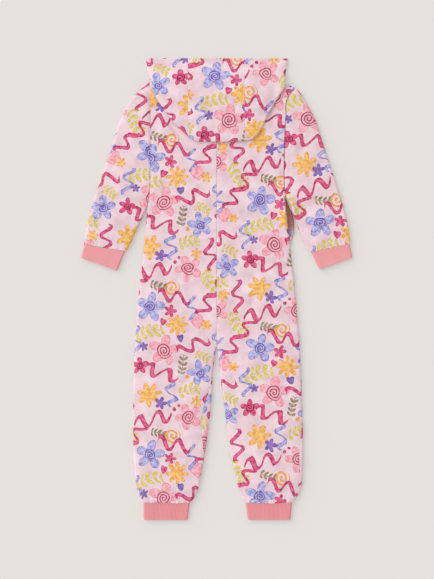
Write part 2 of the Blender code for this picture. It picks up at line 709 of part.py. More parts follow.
def hood_centre():
    """Centre strip: from the rim down the back, round the crown's fold and up under to the nape."""
    left, right = HOOD_LINES["left"], HOOD_LINES["right"]
    t = np.linspace(0.0, 1.0, HOOD_CENTRE_COLUMNS + 1)
    x = (left.seam_x + SEAM / 2) * (1 - t) + (right.seam_x - SEAM / 2) * t
    slope = (right.rim_y - left.rim_y) / (right.rim_x - left.rim_x)
    rim = np.stack([x, left.rim_y + slope * (x - left.rim_x)], axis=-1)
    crown_y = curve_through([p.x for p in HOOD_CROWN], [p.y for p in HOOD_CROWN], x)
    fold = np.stack([x, crown_y], axis=-1)
    normals = side_normals(fold, rim)
    normals[0] = normals[-1] = (0.0, -1.0)
    end = np.stack([x, top_line(x, "left", "back")], axis=-1)
    points, normals = hood_layers(rim, fold, normals, end, "left")
    return wall_solid("hood_centre", points, normals, FLEECE, fleece_finish("hood_centre"))


def hood_side(side):
    """Side panel: from the rim over the slanting fold and back under, its free edge turned down."""
    line = HOOD_LINES[side]
    sign = -1.0 if side == "left" else 1.0
    a = np.array(HOOD_SIDE_FRACTIONS)
    seam_x = line.seam_x + sign * SEAM / 2
    other = HOOD_LINES["right" if side == "left" else "left"]
    slope = (line.rim_y - other.rim_y) / (line.rim_x - other.rim_x)
    rim_x = line.rim_x * (1 - a) + seam_x * a
    rim = np.stack([rim_x, line.rim_y + slope * (rim_x - line.rim_x)], axis=-1)
    fold = along(line.edge, a)
    fold[:, 0] += sign * SEAM / 2 * a
    normals = side_normals(fold, np.array([sign * HOOD_INSIDE_X, HOOD_INSIDE_Y]))
    seam_turn = smoothstep(SEAM_SQUARING, 1.0, a)[:, None]
    normals = normals * (1 - seam_turn) + np.array([0.0, -1.0]) * seam_turn
    normals /= np.linalg.norm(normals, axis=-1, keepdims=True)
    flat = fold - normals * HOOD_FOLD_RADIUS
    end_x = flat[:, 0] + (seam_x - flat[-1, 0]) * a
    end = np.stack([end_x, hood_end_line(end_x, side)], axis=-1)
    points, up = hood_layers(rim, fold, normals, end, side)
    points, up = turn_free_edge(points, up.copy(), HOOD_ROWS + 1, sign)
    name = f"hood_side_{side}"
    return wall_solid(name, points, up, FLEECE, fleece_finish(name))


def turn_free_edge(points, normals, rows, sign):
    """Turn the first columns of the top layer down over a quarter circle."""
    edge = points[:rows, 0].copy()
    radius = (edge[:, 2] - SEAM) / 2
    weight = smoothstep(HOOD_EDGE_TURN_LOW, HOOD_EDGE_TURN_HIGH, edge[:, 1])[:, None]
    for column in range(HOOD_EDGE_COLUMNS):
        angle = math.pi / 2 * (1.0 - column / (HOOD_EDGE_COLUMNS - 1))
        x = edge[:, 0] + sign * radius * (math.sin(angle) - 1.0)
        z = edge[:, 2] - radius * (1.0 - math.cos(angle))
        turned = np.stack([x, edge[:, 1], z], axis=-1)
        points[:rows, column] = points[:rows, column] * (1 - weight) + turned * weight
        tilt = np.array([sign * math.sin(angle), 0.0, math.cos(angle)])
        blended = normals[:rows, column] * (1 - weight) + tilt * weight
        normals[:rows, column] = blended / np.linalg.norm(blended, axis=-1, keepdims=True)
    return points, normals


def hood_wing(side):
    """Front stretch of a side panel: on the floor, from the front neckline and over the shoulder."""
    sign = -1.0 if side == "left" else 1.0
    flat_in = ZIP_HALF_GAP + QUARTER
    flat_out = abs(SHOULDER_TIP[side].x) - QUARTER
    neck_x = flat_in + (flat_out - flat_in) * np.array(FRONT_SPREAD)
    neck_x = neck_x[neck_x < WING_NECK_END]
    reach = np.concatenate([[ZIP_HALF_GAP + SEAM, flat_in], neck_x, WING_SHOULDER_X, [WING_FOOT_X[side]]])
    foot_x = sign * reach
    hem = along(WING_HEM[side], (reach - reach[0]) / (reach[-1] - reach[0]))
    neck = top_line(foot_x, side, "front") + SEAM
    seam_line = np.where(reach < NECK_HALF_WIDTH, neck, shoulder_line(foot_x, side))
    climb = np.where((reach > WING_CLIMB_START) & (reach < WING_CLIMB_END), 1.0, 0.0)
    near_neck = np.where(reach < WING_NECK_END, 1.0, 0.0)
    foot = WING_RAMP_FOOT - WING_FOOT_INSET * (1.0 - climb)
    first_y = seam_line + (1.0 - near_neck) * (foot * (1 - climb) + WING_RAMP_TOP[0] * climb)
    first = np.stack([foot_x, first_y, WING_RAMP_TOP[1] * climb], axis=-1)
    second_y = np.where(near_neck > 0, WING_FIRST_ROW * (hem[:, 1] - seam_line), WING_RAMP_FOOT) + seam_line
    second_x = foot_x * (1.0 - WING_DRIFT) + hem[:, 0] * WING_DRIFT
    second = np.stack([second_x, second_y, np.zeros(len(reach))], axis=-1)
    last = np.concatenate([hem, np.zeros((len(reach), 1))], axis=-1)
    t = np.array(WING_ROWS)[:, None, None]
    grid = np.concatenate([first[None], second[None] * (1 - t) + last[None] * t])
    normals = -grid_normals(grid)
    name = f"hood_wing_{side}"
    return wall_solid(name, grid, normals, FLEECE, fleece_finish(name))


def prism(name, outline, low, high, axis, finish):
    """Closed prism: a plan outline in the two other axes, run from low to high along an axis."""
    order = {0: (2, 0, 1), 1: (0, 2, 1), 2: (0, 1, 2)}[axis]
    count = len(outline)
    flat = np.array([[p[0], p[1], level] for level in (low, high) for p in outline], float)
    points = flat[:, order]
    ring = np.append(np.arange(count), 0)
    faces = strip_faces(ring, ring + count)
    faces += [tuple(range(count)), tuple(range(2 * count - 1, count - 1, -1))]
    made = add_mesh(name, points, faces, finish)
    made.data.polygons.foreach_set("use_smooth", [False] * len(made.data.polygons))
    return made


def circle(centre, radius, steps, start=0.0, turn=2 * math.pi):
    angles = start + turn * np.arange(steps) / steps
    return [(centre[0] + radius * math.cos(t), centre[1] + radius * math.sin(t)) for t in angles]


def combine(target, helper, operation):
    """Add a helper solid to the target, or take it away, with an exact Boolean."""
    helper.hide_render = True
    helper.display_type = "WIRE"
    modifier = target.modifiers.new(operation.lower(), "BOOLEAN")
    modifier.operation = operation
    modifier.solver = "EXACT"
    modifier.object = helper


def zip_tape():
    """Both tapes and the closed coil between them, as one strip with a ridge towards the outside."""
    shoulder = COIL_HALF_WIDTH * COIL_SHOULDER
    profile = [(-TAPE_HALF_WIDTH, TAPE_BOTTOM), (-COIL_HALF_WIDTH, TAPE_BOTTOM),
               (-shoulder, COIL_BOTTOM), (shoulder, COIL_BOTTOM),
               (COIL_HALF_WIDTH, TAPE_BOTTOM), (TAPE_HALF_WIDTH, TAPE_BOTTOM),
               (TAPE_HALF_WIDTH, TAPE_TOP), (-TAPE_HALF_WIDTH, TAPE_TOP)]
    finish = finish_of("zip_tape", (0.87, 0.55, 0.60), 0.7)
    return prism("zip_tape", profile, ZIP_END_Y, ZIP_TOP_Y, 1, finish)


def zip_slider():
    """Slider front plate with cheeks beside the coil and two ears that hold the pull's pin."""
    finish = finish_of("zip_slider", (0.72, 0.72, 0.74), 0.3, 1.0)
    plate_top = SLIDER_BOTTOM + SLIDER_PLATE
    cheek_in = SLIDER_HALF_WIDTH - CHEEK_WIDTH
    profile = [(-SLIDER_HALF_WIDTH, SLIDER_BOTTOM), (SLIDER_HALF_WIDTH, SLIDER_BOTTOM),
               (SLIDER_HALF_WIDTH, CHEEK_TOP), (cheek_in, CHEEK_TOP), (cheek_in, plate_top),
               (-cheek_in, plate_top), (-cheek_in, CHEEK_TOP), (-SLIDER_HALF_WIDTH, CHEEK_TOP)]
    half = SLIDER_LENGTH / 2
    body = prism("zip_slider", profile, SLIDER_Y - half, SLIDER_Y + half, 1, finish)
    ear = circle((SLIDER_Y, PIVOT_Z), EAR_RADIUS, 8, math.pi, math.pi * 8 / 7)
    root = SLIDER_BOTTOM + EAR_ROOT
    ear += [(SLIDER_Y + EAR_RADIUS, root), (SLIDER_Y - EAR_RADIUS, root)]
    for label, low in (("left", -EAR_OUTER), ("right", EAR_INNER)):
        combine(body, prism(f"ear_{label}", ear, low, low + EAR_OUTER - EAR_INNER, 0, finish), "UNION")
    pin = circle((SLIDER_Y, PIVOT_Z), PIN_RADIUS, 12)
    reach = (EAR_INNER + EAR_OUTER) / 2
    combine(body, prism("slider_pin", pin, -reach, reach, 0, finish), "UNION")
    return body


def zip_pull():
    """Pull tab: an eye round the slider's pin and a flat tab with a round end."""
    finish = finish_of("zip_pull", (0.72, 0.72, 0.74), 0.3, 1.0)
    low = PIVOT_Z - PULL_THICKNESS
    end_y = SLIDER_Y - PULL_LENGTH + PULL_HALF_WIDTH
    outline = [(PULL_HALF_WIDTH, SLIDER_Y - PULL_START), (-PULL_HALF_WIDTH, SLIDER_Y - PULL_START)]
    outline += circle((0.0, end_y), PULL_HALF_WIDTH, 9, math.pi, math.pi * 9 / 8)
    tab = prism("zip_pull", outline, low, PIVOT_Z, 2, finish)
    eye = circle((SLIDER_Y, PIVOT_Z), EYE_RADIUS, 12, -math.pi / 2, math.pi * 12 / 11)
    stem_y = SLIDER_Y - PULL_START - PULL_OVERLAP
    eye += [(stem_y, PIVOT_Z - STEM_INSET), (stem_y, low + STEM_INSET)]
    combine(tab, prism("pull_eye", eye, -EYE_HALF_WIDTH, EYE_HALF_WIDTH, 0, finish), "UNION")
    bore = circle((SLIDER_Y, PIVOT_Z), EYE_BORE, 12)
    reach = 2 * EYE_HALF_WIDTH
    combine(tab, prism("pull_bore", bore, -reach, reach, 0, finish), "DIFFERENCE")
    return tab


def main():
    for old in list(bpy.data.objects):
        bpy.data.objects.remove(old)
    for side in ("left", "right"):
        body_panel(side, "back")
        body_panel(side, "front")
        sleeve(side)
        hood_side(side)
        hood_wing(side)
    hood_centre()
    for name in CUFFS:
        cuff(name)
    zip_tape()
    zip_slider()
    zip_pull()


main()
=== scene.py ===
"""A child's hooded fleece onesie, laid face down and flat, its hood turned down on its back.

Each piece is built as it is cut and sewn: a cloth wall with rounded seam edges, puffed and creased as the
garment lies. Tables and working arrays are in millimetres. +Y runs from the ankles to the hood, -X is the
wearer's left and the surface that the garment lies on is z = 0.
"""

from __future__ import annotations

import logging
import math
from dataclasses import dataclass, field, replace
from enum import Enum

import bmesh
import bpy
import numpy as np
from bpy.types import ID, Material, Node, NodeSocket, NodeTree, Object
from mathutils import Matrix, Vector

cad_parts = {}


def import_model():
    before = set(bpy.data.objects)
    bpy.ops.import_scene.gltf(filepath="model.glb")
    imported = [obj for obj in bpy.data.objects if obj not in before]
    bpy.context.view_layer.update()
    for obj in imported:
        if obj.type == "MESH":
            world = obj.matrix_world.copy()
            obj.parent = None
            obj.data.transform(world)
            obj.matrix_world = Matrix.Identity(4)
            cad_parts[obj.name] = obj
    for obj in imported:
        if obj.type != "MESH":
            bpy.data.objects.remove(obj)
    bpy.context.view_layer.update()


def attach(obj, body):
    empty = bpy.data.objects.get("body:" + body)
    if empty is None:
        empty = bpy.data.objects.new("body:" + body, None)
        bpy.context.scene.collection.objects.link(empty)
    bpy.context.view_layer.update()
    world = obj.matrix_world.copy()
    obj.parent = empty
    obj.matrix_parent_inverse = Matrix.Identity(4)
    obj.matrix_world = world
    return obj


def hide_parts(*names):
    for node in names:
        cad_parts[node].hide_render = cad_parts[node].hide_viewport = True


LOG = logging.getLogger("onesie")
Array = np.ndarray
MM = 0.001
TAU = 2.0 * math.pi

FLEECE = 3.0  # thickness of the body's cloth
RIB = 2.5  # thickness of the cuffs' doubled knit
SEAM = 0.3  # gap between two pieces that are sewn together
EDGE_RADIUS = 4.9  # outer radius with which cloth turns over at the garment's edges
QUARTER = EDGE_RADIUS * math.pi / 2.0  # length of cloth in a quarter of such a turn
FINE = (0.0, 0.3, 0.8, 1.5, 2.4)  # columns and rows this far from a seam, where its edge rounds off
STEP = 3.2  # spacing of a piece's other columns and rows
FAR = 99.0  # distance given to cloth with no seam or edge near it
UP = np.array([0.0, 0.0, 1.0])
MATH = "ShaderNodeMath"
VECTOR = "ShaderNodeVectorMath"
RANGE = "ShaderNodeMapRange"
MIX = "ShaderNodeMix"
NOISE = "ShaderNodeTexNoise"
BUMP = "ShaderNodeBump"
COORDINATES = "ShaderNodeTexCoord"
COLOUR = {"out": 2, "data_type": "RGBA"}  # a Mix node's output and type for colours


class Side(Enum):
    """Half of the garment, by the wearer's own side."""

    LEFT = "left"
    RIGHT = "right"

    @property
    def sign(self) -> float:
        """Direction along X from the centre."""
        return -1.0 if self is Side.LEFT else 1.0


class Face(Enum):
    """Which face of the garment a body panel belongs to."""

    BACK = "back"
    FRONT = "front"


def smoothstep(low: float, high: float, value: Array) -> Array:
    """Ease from 0 at low to 1 at high: 3 t squared less 2 t cubed.

    Args:
        low: Value at which the ease starts.
        high: Value at which it ends; it may lie below low.
        value: Values to ease.

    Returns:
        Weights from 0 to 1.
    """
    t = np.clip((np.asarray(value, float) - low) / (high - low), 0.0, 1.0)
    return t * t * (3.0 - 2.0 * t)


def dome(distance: Array, reach: float) -> Array:
    """Rise over an edge, 0 there and 1 from reach on: 1 - (1 - d / reach) squared."""
    return 1.0 - (1.0 - np.clip(distance / reach, 0.0, 1.0)) ** 2


def bell(t: Array) -> Array:
    """Bell that is 1 at 0 and falls off on both sides: exp(-t squared)."""
    return np.exp(-t ** 2)


def unit(vectors: Array) -> Array:
    """Vectors along the last axis, each divided by its length."""
    return vectors / np.linalg.norm(vectors, axis=-1, keepdims=True)


def run_along(points: Array) -> Array:
    """Distance of every point of a line from the first one, measured along the line."""
    return np.concatenate(([0.0], np.cumsum(np.linalg.norm(np.diff(points, axis=0), axis=1))))


def curve_through(known: Array, values: Array, wanted: Array) -> Array:
    """Cubic through the rows of a table, each row's slope taken from its neighbours.

    Args:
        known: The table's places, rising or falling.
        values: The table's values there.
        wanted: Places to read.

    Returns:
        Values at the wanted places.
    """
    known, values = np.asarray(known, float), np.asarray(values, float)
    if known[0] > known[-1]:
        known, values = known[::-1], values[::-1]
    slopes = np.gradient(values, known)
    wanted = np.clip(np.asarray(wanted, float), known[0], known[-1])
    low = np.clip(np.searchsorted(known, wanted, side="right") - 1, 0, len(known) - 2)
    span = known[low + 1] - known[low]
    t = (wanted - known[low]) / span
    rise = values[low + 1] - values[low]
    start, end = slopes[low] * span, slopes[low + 1] * span
    return values[low] + t * (start + t * (3 * rise - 2 * start - end + t * (start + end - 2 * rise)))


def along(points: tuple, fractions: Array) -> Array:
    """Plan points on the smooth line through a table, at fractions of its length.

    Args:
        points: Table of (x, y).
        fractions: Fractions from 0 to 1.

    Returns:
        Array of (x, y).
    """
    corners = np.array(points, float)
    length = run_along(corners)
    wanted = np.asarray(fractions, float) * length[-1]
    return np.stack([curve_through(length, corners[:, axis], wanted) for axis in (0, 1)], axis=-1)


def plan_normals(line: Array, inside: Array) -> Array:
    """Unit plan normals of a line of points: each tangent turned a quarter, away from its partner inside.

    Args:
        line: Points (n, 2).
        inside: Points, or one point, on the inner side.

    Returns:
        Normals (n, 2).
    """
    tangent = np.gradient(line, axis=0)
    normal = unit(np.stack([tangent[:, 1], -tangent[:, 0]], axis=-1))
    flip = np.sign(np.sum(normal * (line - inside), axis=-1, keepdims=True))
    return normal * np.where(flip == 0, 1, flip)


def roll(length: Array, curl: Array) -> tuple[Array, Array, Array]:
    """Path of cloth over an edge: out is R sin a, down is R (1 - cos a), where a is length / R.

    Past half a turn the cloth runs straight back, and with no curl it stays flat.

    Args:
        length: Distance along the cloth from where it begins to turn.
        curl: 1 for the full edge radius, 0 for flat.

    Returns:
        Distance out, distance down and the angle turned.
    """
    bend = EDGE_RADIUS / np.maximum(curl, 1e-3)
    angle = np.clip(length / bend, 0.0, math.pi)
    past = np.maximum(length - math.pi * bend, 0.0)
    before = np.minimum(length, 0.0)
    return bend * np.sin(angle) - past + before, bend * (1.0 - np.cos(angle)), angle


def seam_edge(distance: Array) -> Array:
    """Distance to an edge, stretched so that cloth sewn to its neighbour thins only a little there."""
    return 0.75 + 1.5 * distance


def graded(length: float, step: float = STEP) -> Array:
    """Places from 0 to length: the fine ones at both ends, even steps between.

    Args:
        length: Whole length.
        step: Largest wanted step.

    Returns:
        Rising places.
    """
    inner = np.linspace(FINE[-1], length - FINE[-1], max(2, int(round((length - 2 * FINE[-1]) / step)) + 1))
    return np.concatenate([FINE[:-1], inner, length - np.array(FINE[:-1])[::-1]])


@dataclass(frozen=True)
class Cut:
    """Plan lines of the laid garment: outer edges, inseams, shoulders, armholes and the lines of the hood."""

    body: tuple = (
        (476, -154, 176), (466, -153.8, 176), (461, -153.5, 175.4), (455, -153.2, 171.8),
        (440, -152.8, 162), (428, -152.5, 158.6), (400, -152, 158), (350, -152, 155.5),
        (300, -152, 154), (250, -152.6, 154), (216, -154, 156), (189, -159, 159),
        (161, -161.6, 161.8), (115, -166, 167.5), (69, -170.3, 172), (23, -175.4, 178),
        (-23, -180.2, 182.5), (-69, -183.4, 185.8), (-115, -187, 190.2), (-160, -189.8, 192.8),
        (-215, -191.5, 194.8), (-276, -192, 196.5), (-322, -191.9, 198.2), (-375, -191, 198.6),
        (-410, -189.2, 198.4), (-445, -185.5, 195.6), (-470, -179.3, 188.8), (-490, -170, 175.8),
    )
    inseam: tuple = (
        (-131, -0.15, 0.15), (-137, -1.2, 1.2), (-160, -4.8, 4.8), (-207, -9.6, 9.4), (-253, -11.5, 15.3),
        (-299, -16, 21.5), (-345, -22, 27.4), (-391, -28.8, 34), (-437, -37.4, 45),
        (-460, -42.5, 51), (-478, -50, 57.5), (-490, -60, 65),
    )
    inseam_wrap: tuple = (
        (-131, 0), (-190, 0.5), (-225, 8), (-253, 15), (-285, 20.5), (-305, 22), (-330, 18),
        (-365, 8), (-400, 1), (-430, 0), (-490, 0),
    )
    side_wrap: tuple = ((214, 0), (-240, 0), (-320, 6), (-350, 9.6), (-450, 9.8), (-490, 7))
    tips: tuple = ((-154, 476), (176, 466))
    underarms: tuple = (189, 214)
    sleeve_outer: tuple = (
        ((-154, 476), (-173.5, 460.5), (-195.5, 437), (-212.5, 410), (-228, 372),
         (-240.5, 330), (-252.5, 295), (-265.5, 255), (-280.5, 212), (-292, 173),
         (-300.5, 135), (-305.5, 103)),
        ((176, 466), (190, 453.5), (202, 436), (215, 413), (226.5, 390), (241.5, 345),
         (256.5, 298), (272, 252), (286.5, 206), (299.5, 160), (305.5, 125), (307.2, 105)),
    )
    sleeve_inner: tuple = (
        ((-159.3, 189), (-172.3, 160), (-185, 133.5), (-196, 108), (-203, 93.5), (-208.5, 87.5)),
        ((156.4, 214), (163.5, 203), (171.5, 183), (179.5, 160), (188.5, 137), (197, 114),
         (206.5, 93), (215.5, 84.5)),
    )
    neck_half_width: float = 72.0
    neck_side_y: float = 488.0
    back_neck_y: float = 455.0
    front_neck_y: float = 430.0
    crotch_y: float = -131.0
    ankle_y: float = -490.0
    zip_top_y: float = 428.0
    zip_end_y: float = -66.0
    zip_half_gap: float = 6.0
    # Armpit: level, how far the cloth on the floor is pushed out into the gap, and the share of painted shade
    # on it.
    armpit: tuple = (
        (476, 0, 1), (222, 0, 1), (214, 0, 1), (203, 5.2, 1), (190, 9, 1), (172, 13.6, 1),
        (158, 15.5, 1), (150, 14.8, 0.95), (140, 13.4, 0.80), (130, 11.6, 0.52), (120, 9.2, 0.30),
        (108, 5.4, 0.12), (98, 1.8, 0), (90, 0, 0), (82, 0, 0), (-490, 0, 0),
    )
    droops: tuple = ((-94, 14, 1.8), (128, 17, 2.2), (92, 12, 0.9), (-146, 11, 0.9))
    droop_fade: float = 7.0

    def column(self, table: tuple, index: int, y: Array) -> Array:
        """One column of a table of levels, read as a smooth curve at the levels y."""
        return curve_through([row[0] for row in table], [row[index] for row in table], y)

    def side_x(self, side: Side, y: Array) -> Array:
        """Outer edge of the body and leg."""
        return self.column(self.body, self.pick(side, 1, 2), y)

    def inseam_x(self, side: Side, y: Array) -> Array:
        """Inner edge of the leg."""
        return self.column(self.inseam, self.pick(side, 1, 2), y)

    def pick(self, side: Side, left: object, right: object) -> object:
        """The left or the right one of two things."""
        return left if side is Side.LEFT else right

    def tip(self, side: Side) -> tuple:
        """Plan point where the shoulder seam meets the sleeve."""
        return self.tips[self.pick(side, 0, 1)]

    def underarm(self, side: Side) -> float:
        """Level of the underarm."""
        return self.underarms[self.pick(side, 0, 1)]

    def top_y(self, x: Array, side: Side, face: Face) -> Array:
        """Neckline, a parabola over the half width, and beyond it the straight shoulder seam.

        Args:
            x: Places across.
            side: Half of the garment.
            face: Face of the garment.

        Returns:
            Levels.
        """
        low = self.back_neck_y if face is Face.BACK else self.front_neck_y
        reach = np.abs(x) / self.neck_half_width
        return np.where(reach < 1, low + (self.neck_side_y - low) * reach ** 2, self.shoulder_y(x, side))

    def shoulder_y(self, x: Array, side: Side) -> Array:
        """Shoulder seam, held level across the neck.

        Args:
            x: Places across.
            side: Half of the garment.

        Returns:
            Levels.
        """
        (end, low), half = self.tip(side), self.neck_half_width
        slope = (low - self.neck_side_y) / (abs(end) - half)
        return self.neck_side_y + slope * np.maximum(np.abs(x) - half, 0)

    def droop(self, x: Array, y: Array) -> Array:
        """How far the ankle seam hangs down over its table of places, widths and depths: a bell for each."""
        hang = sum(depth * bell((x - place) / width) for place, width, depth in self.droops)
        return hang * np.exp(-np.abs(y - self.ankle_y) / self.droop_fade)

    def outline(self) -> tuple[Array, Array]:
        """Closed outline of the cloth, and the wrist and ankle lines where a cuff gathers it.

        Returns:
            Outline points (n, 2) in order, and the gathered ends' points (m, 2).
        """
        many, few = np.linspace(0.0, 1.0, 90), np.linspace(0.0, 1.0, 30)
        ends, halves = [], []
        for side in Side:
            index = self.pick(side, 0, 1)
            outer, inner = along(self.sleeve_outer[index], many), along(self.sleeve_inner[index], few)
            low = np.linspace(self.underarm(side), self.ankle_y, 170)
            leg = np.linspace(self.ankle_y, self.crotch_y, 90)
            edge = np.stack([self.side_x(side, low), low], axis=-1)
            inseam = np.stack([self.inseam_x(side, leg), leg], axis=-1)
            halves.append(np.concatenate([outer, inner[::-1], edge, inseam]))
            t = few[:, None]
            ends += [outer[-1] * (1 - t) + inner[-1] * t, edge[-1] * (1 - t) + inseam[0] * t]
        neck = [(self.neck_half_width, self.neck_side_y), (-self.neck_half_width, self.neck_side_y)]
        return np.concatenate([halves[0], halves[1][::-1], neck]), np.concatenate(ends)


CUT = Cut()


@dataclass(frozen=True)
class HeightField:
    """Heights on a square lattice, read between its points in straight lines."""

    origin: tuple
    spacing: float
    heights: Array

    def at(self, x: Array, y: Array) -> Array:
        """Bilinear height at plan points: each of the four corners weighted by the opposite area.

        Args:
            x, y: Plan places.

        Returns:
            Heights.
        """
        rows, columns = self.heights.shape
        u = np.clip((x - self.origin[0]) / self.spacing, 0, columns - 1.001)
        v = np.clip((y - self.origin[1]) / self.spacing, 0, rows - 1.001)
        i, j = v.astype(int), u.astype(int)
        fu, fv = u - j, v - i
        low = self.heights[i, j] * (1 - fu) + self.heights[i, j + 1] * fu
        high = self.heights[i + 1, j] * (1 - fu) + self.heights[i + 1, j + 1] * fu
        return low * (1 - fv) + high * fv


def puffed(outline: Array, crown: float, reach: float, ends: Array | None = None,
           spacing: float = 3.0, flattest: float = 0.15, hold: float = 20.0) -> HeightField:
    """Height of cloth that swells inside an outline: crown times 1 - (1 - d / reach) squared.

    d is the distance to the outline, and the height falls off in the same way towards gathered ends.

    Args:
        outline: Closed plan outline (n, 2).
        crown: Height where the cloth is far from its edges.
        reach: Distance over which it gets there.
        ends: Plan points of ends that a cuff holds flat.
        spacing: Spacing of the lattice.
        flattest: Share of the height left at a gathered end.
        hold: Distance over which an end's hold is lost.

    Returns:
        The height field, 0 outside.
    """
    low, high = outline.min(0) - 3 * spacing, outline.max(0) + 3 * spacing
    x, y = np.meshgrid(np.arange(low[0], high[0], spacing), np.arange(low[1], high[1], spacing))
    inside = np.zeros(x.shape, bool)
    nearest = np.full(x.shape, 1e9)
    for (ax, ay), (bx, by) in zip(outline, np.roll(outline, -1, axis=0)):
        inside ^= ((ay > y) != (by > y)) & (x < (bx - ax) * (y - ay) / (by - ay + 1e-12) + ax)
        span = max((bx - ax) ** 2 + (by - ay) ** 2, 1e-9)
        t = np.clip(((x - ax) * (bx - ax) + (y - ay) * (by - ay)) / span, 0, 1)
        nearest = np.minimum(nearest, np.hypot(x - ax - t * (bx - ax), y - ay - t * (by - ay)))
    height = crown * dome(nearest, reach) * inside
    if ends is not None:
        to_end = np.full(x.shape, 1e9)
        for px, py in ends:
            to_end = np.minimum(to_end, np.hypot(x - px, y - py))
        height *= flattest + (1.0 - flattest) * dome(to_end, hold)
    for axis in (0, 1) * 3:
        height = (np.roll(height, 1, axis) + 2 * height + np.roll(height, -1, axis)) / 4
    return HeightField((low[0], low[1]), spacing, height)


@dataclass(frozen=True)
class Crease:
    """A soft trough between two plan points, with a low ridge on each side."""

    x0: float
    y0: float
    x1: float
    y1: float
    width: float
    depth: float
    bow: float = 0.10
    ridges: tuple = (0.45, 0.3)  # heights of the ridges on its two sides, as shares of its depth
    ridge_at: float = 1.7  # how many widths they stand from its middle

    def depth_at(self, x: Array, y: Array) -> Array:
        """Depth: a bell across the bowed line, less the lower bells of the ridges, faded at both ends.

        Args:
            x, y: Plan places.

        Returns:
            Depths.
        """
        length = math.hypot(self.x1 - self.x0, self.y1 - self.y0)
        run = ((self.x1 - self.x0) / length, (self.y1 - self.y0) / length)
        s = ((x - self.x0) * run[0] + (y - self.y0) * run[1]) / length
        across = (x - self.x0) * run[1] - (y - self.y0) * run[0]
        across = (across - self.bow * length * np.sin(np.clip(s, 0, 1) * math.pi)) / self.width
        ends = smoothstep(-0.15, 0.3, s) * (1.0 - smoothstep(0.6, 1.15, s))
        ridges = sum(share * bell(across - place)
                     for share, place in zip(self.ridges, (self.ridge_at, -self.ridge_at)))
        return self.depth * ends * (bell(across) - ridges)


@dataclass(frozen=True)
class Gather:
    """Puckers where a cuff, shorter than the cloth's edge, pulls it together."""

    outer: tuple
    inner: tuple
    height: float
    reach: float
    pitch: float
    span: tuple = (-25.0, 190.0)  # from where to how far along the cuff's line the cloth is gathered
    fine_pitch: float = 7.7
    band: tuple = (1.1, 5.0, 7.0)  # height, distance and width of the swollen band along the cuff

    def height_at(self, x: Array, y: Array) -> Array:
        """Height: an uneven cosine along the cuff's line that dies away from it, and a swollen band.

        Args:
            x, y: Plan places.

        Returns:
            Heights.
        """
        start = np.array(self.outer)
        run = unit(np.array(self.inner) - start)
        s = (x - start[0]) * run[0] + (y - start[1]) * run[1]
        away = np.abs((x - start[0]) * run[1] - (y - start[1]) * run[0])
        near = (np.hypot(x - start[0], y - start[1]) < self.span[1]) * (s > self.span[0])
        wave = np.cos(TAU * s / self.pitch + 1.5 * np.sin(s / 17.0))
        wave += 0.5 * np.cos(TAU * s / self.fine_pitch + 1.0)
        rise, place, width = self.band
        swell = rise * bell((away - place) / width)
        return near * self.height * (wave * np.exp(-(away / self.reach) ** 1.3) + swell)


@dataclass(frozen=True)
class Bunch:
    """A rounded lift where the cloth of body and sleeve is pushed up at an underarm."""

    x: float
    y: float
    width: float
    length: float
    height: float

    def height_at(self, x: Array, y: Array) -> Array:
        """Height: a bell of its own width across and its own length up and down."""
        return self.height * np.exp(-((x - self.x) / self.width) ** 2 - ((y - self.y) / self.length) ** 2)


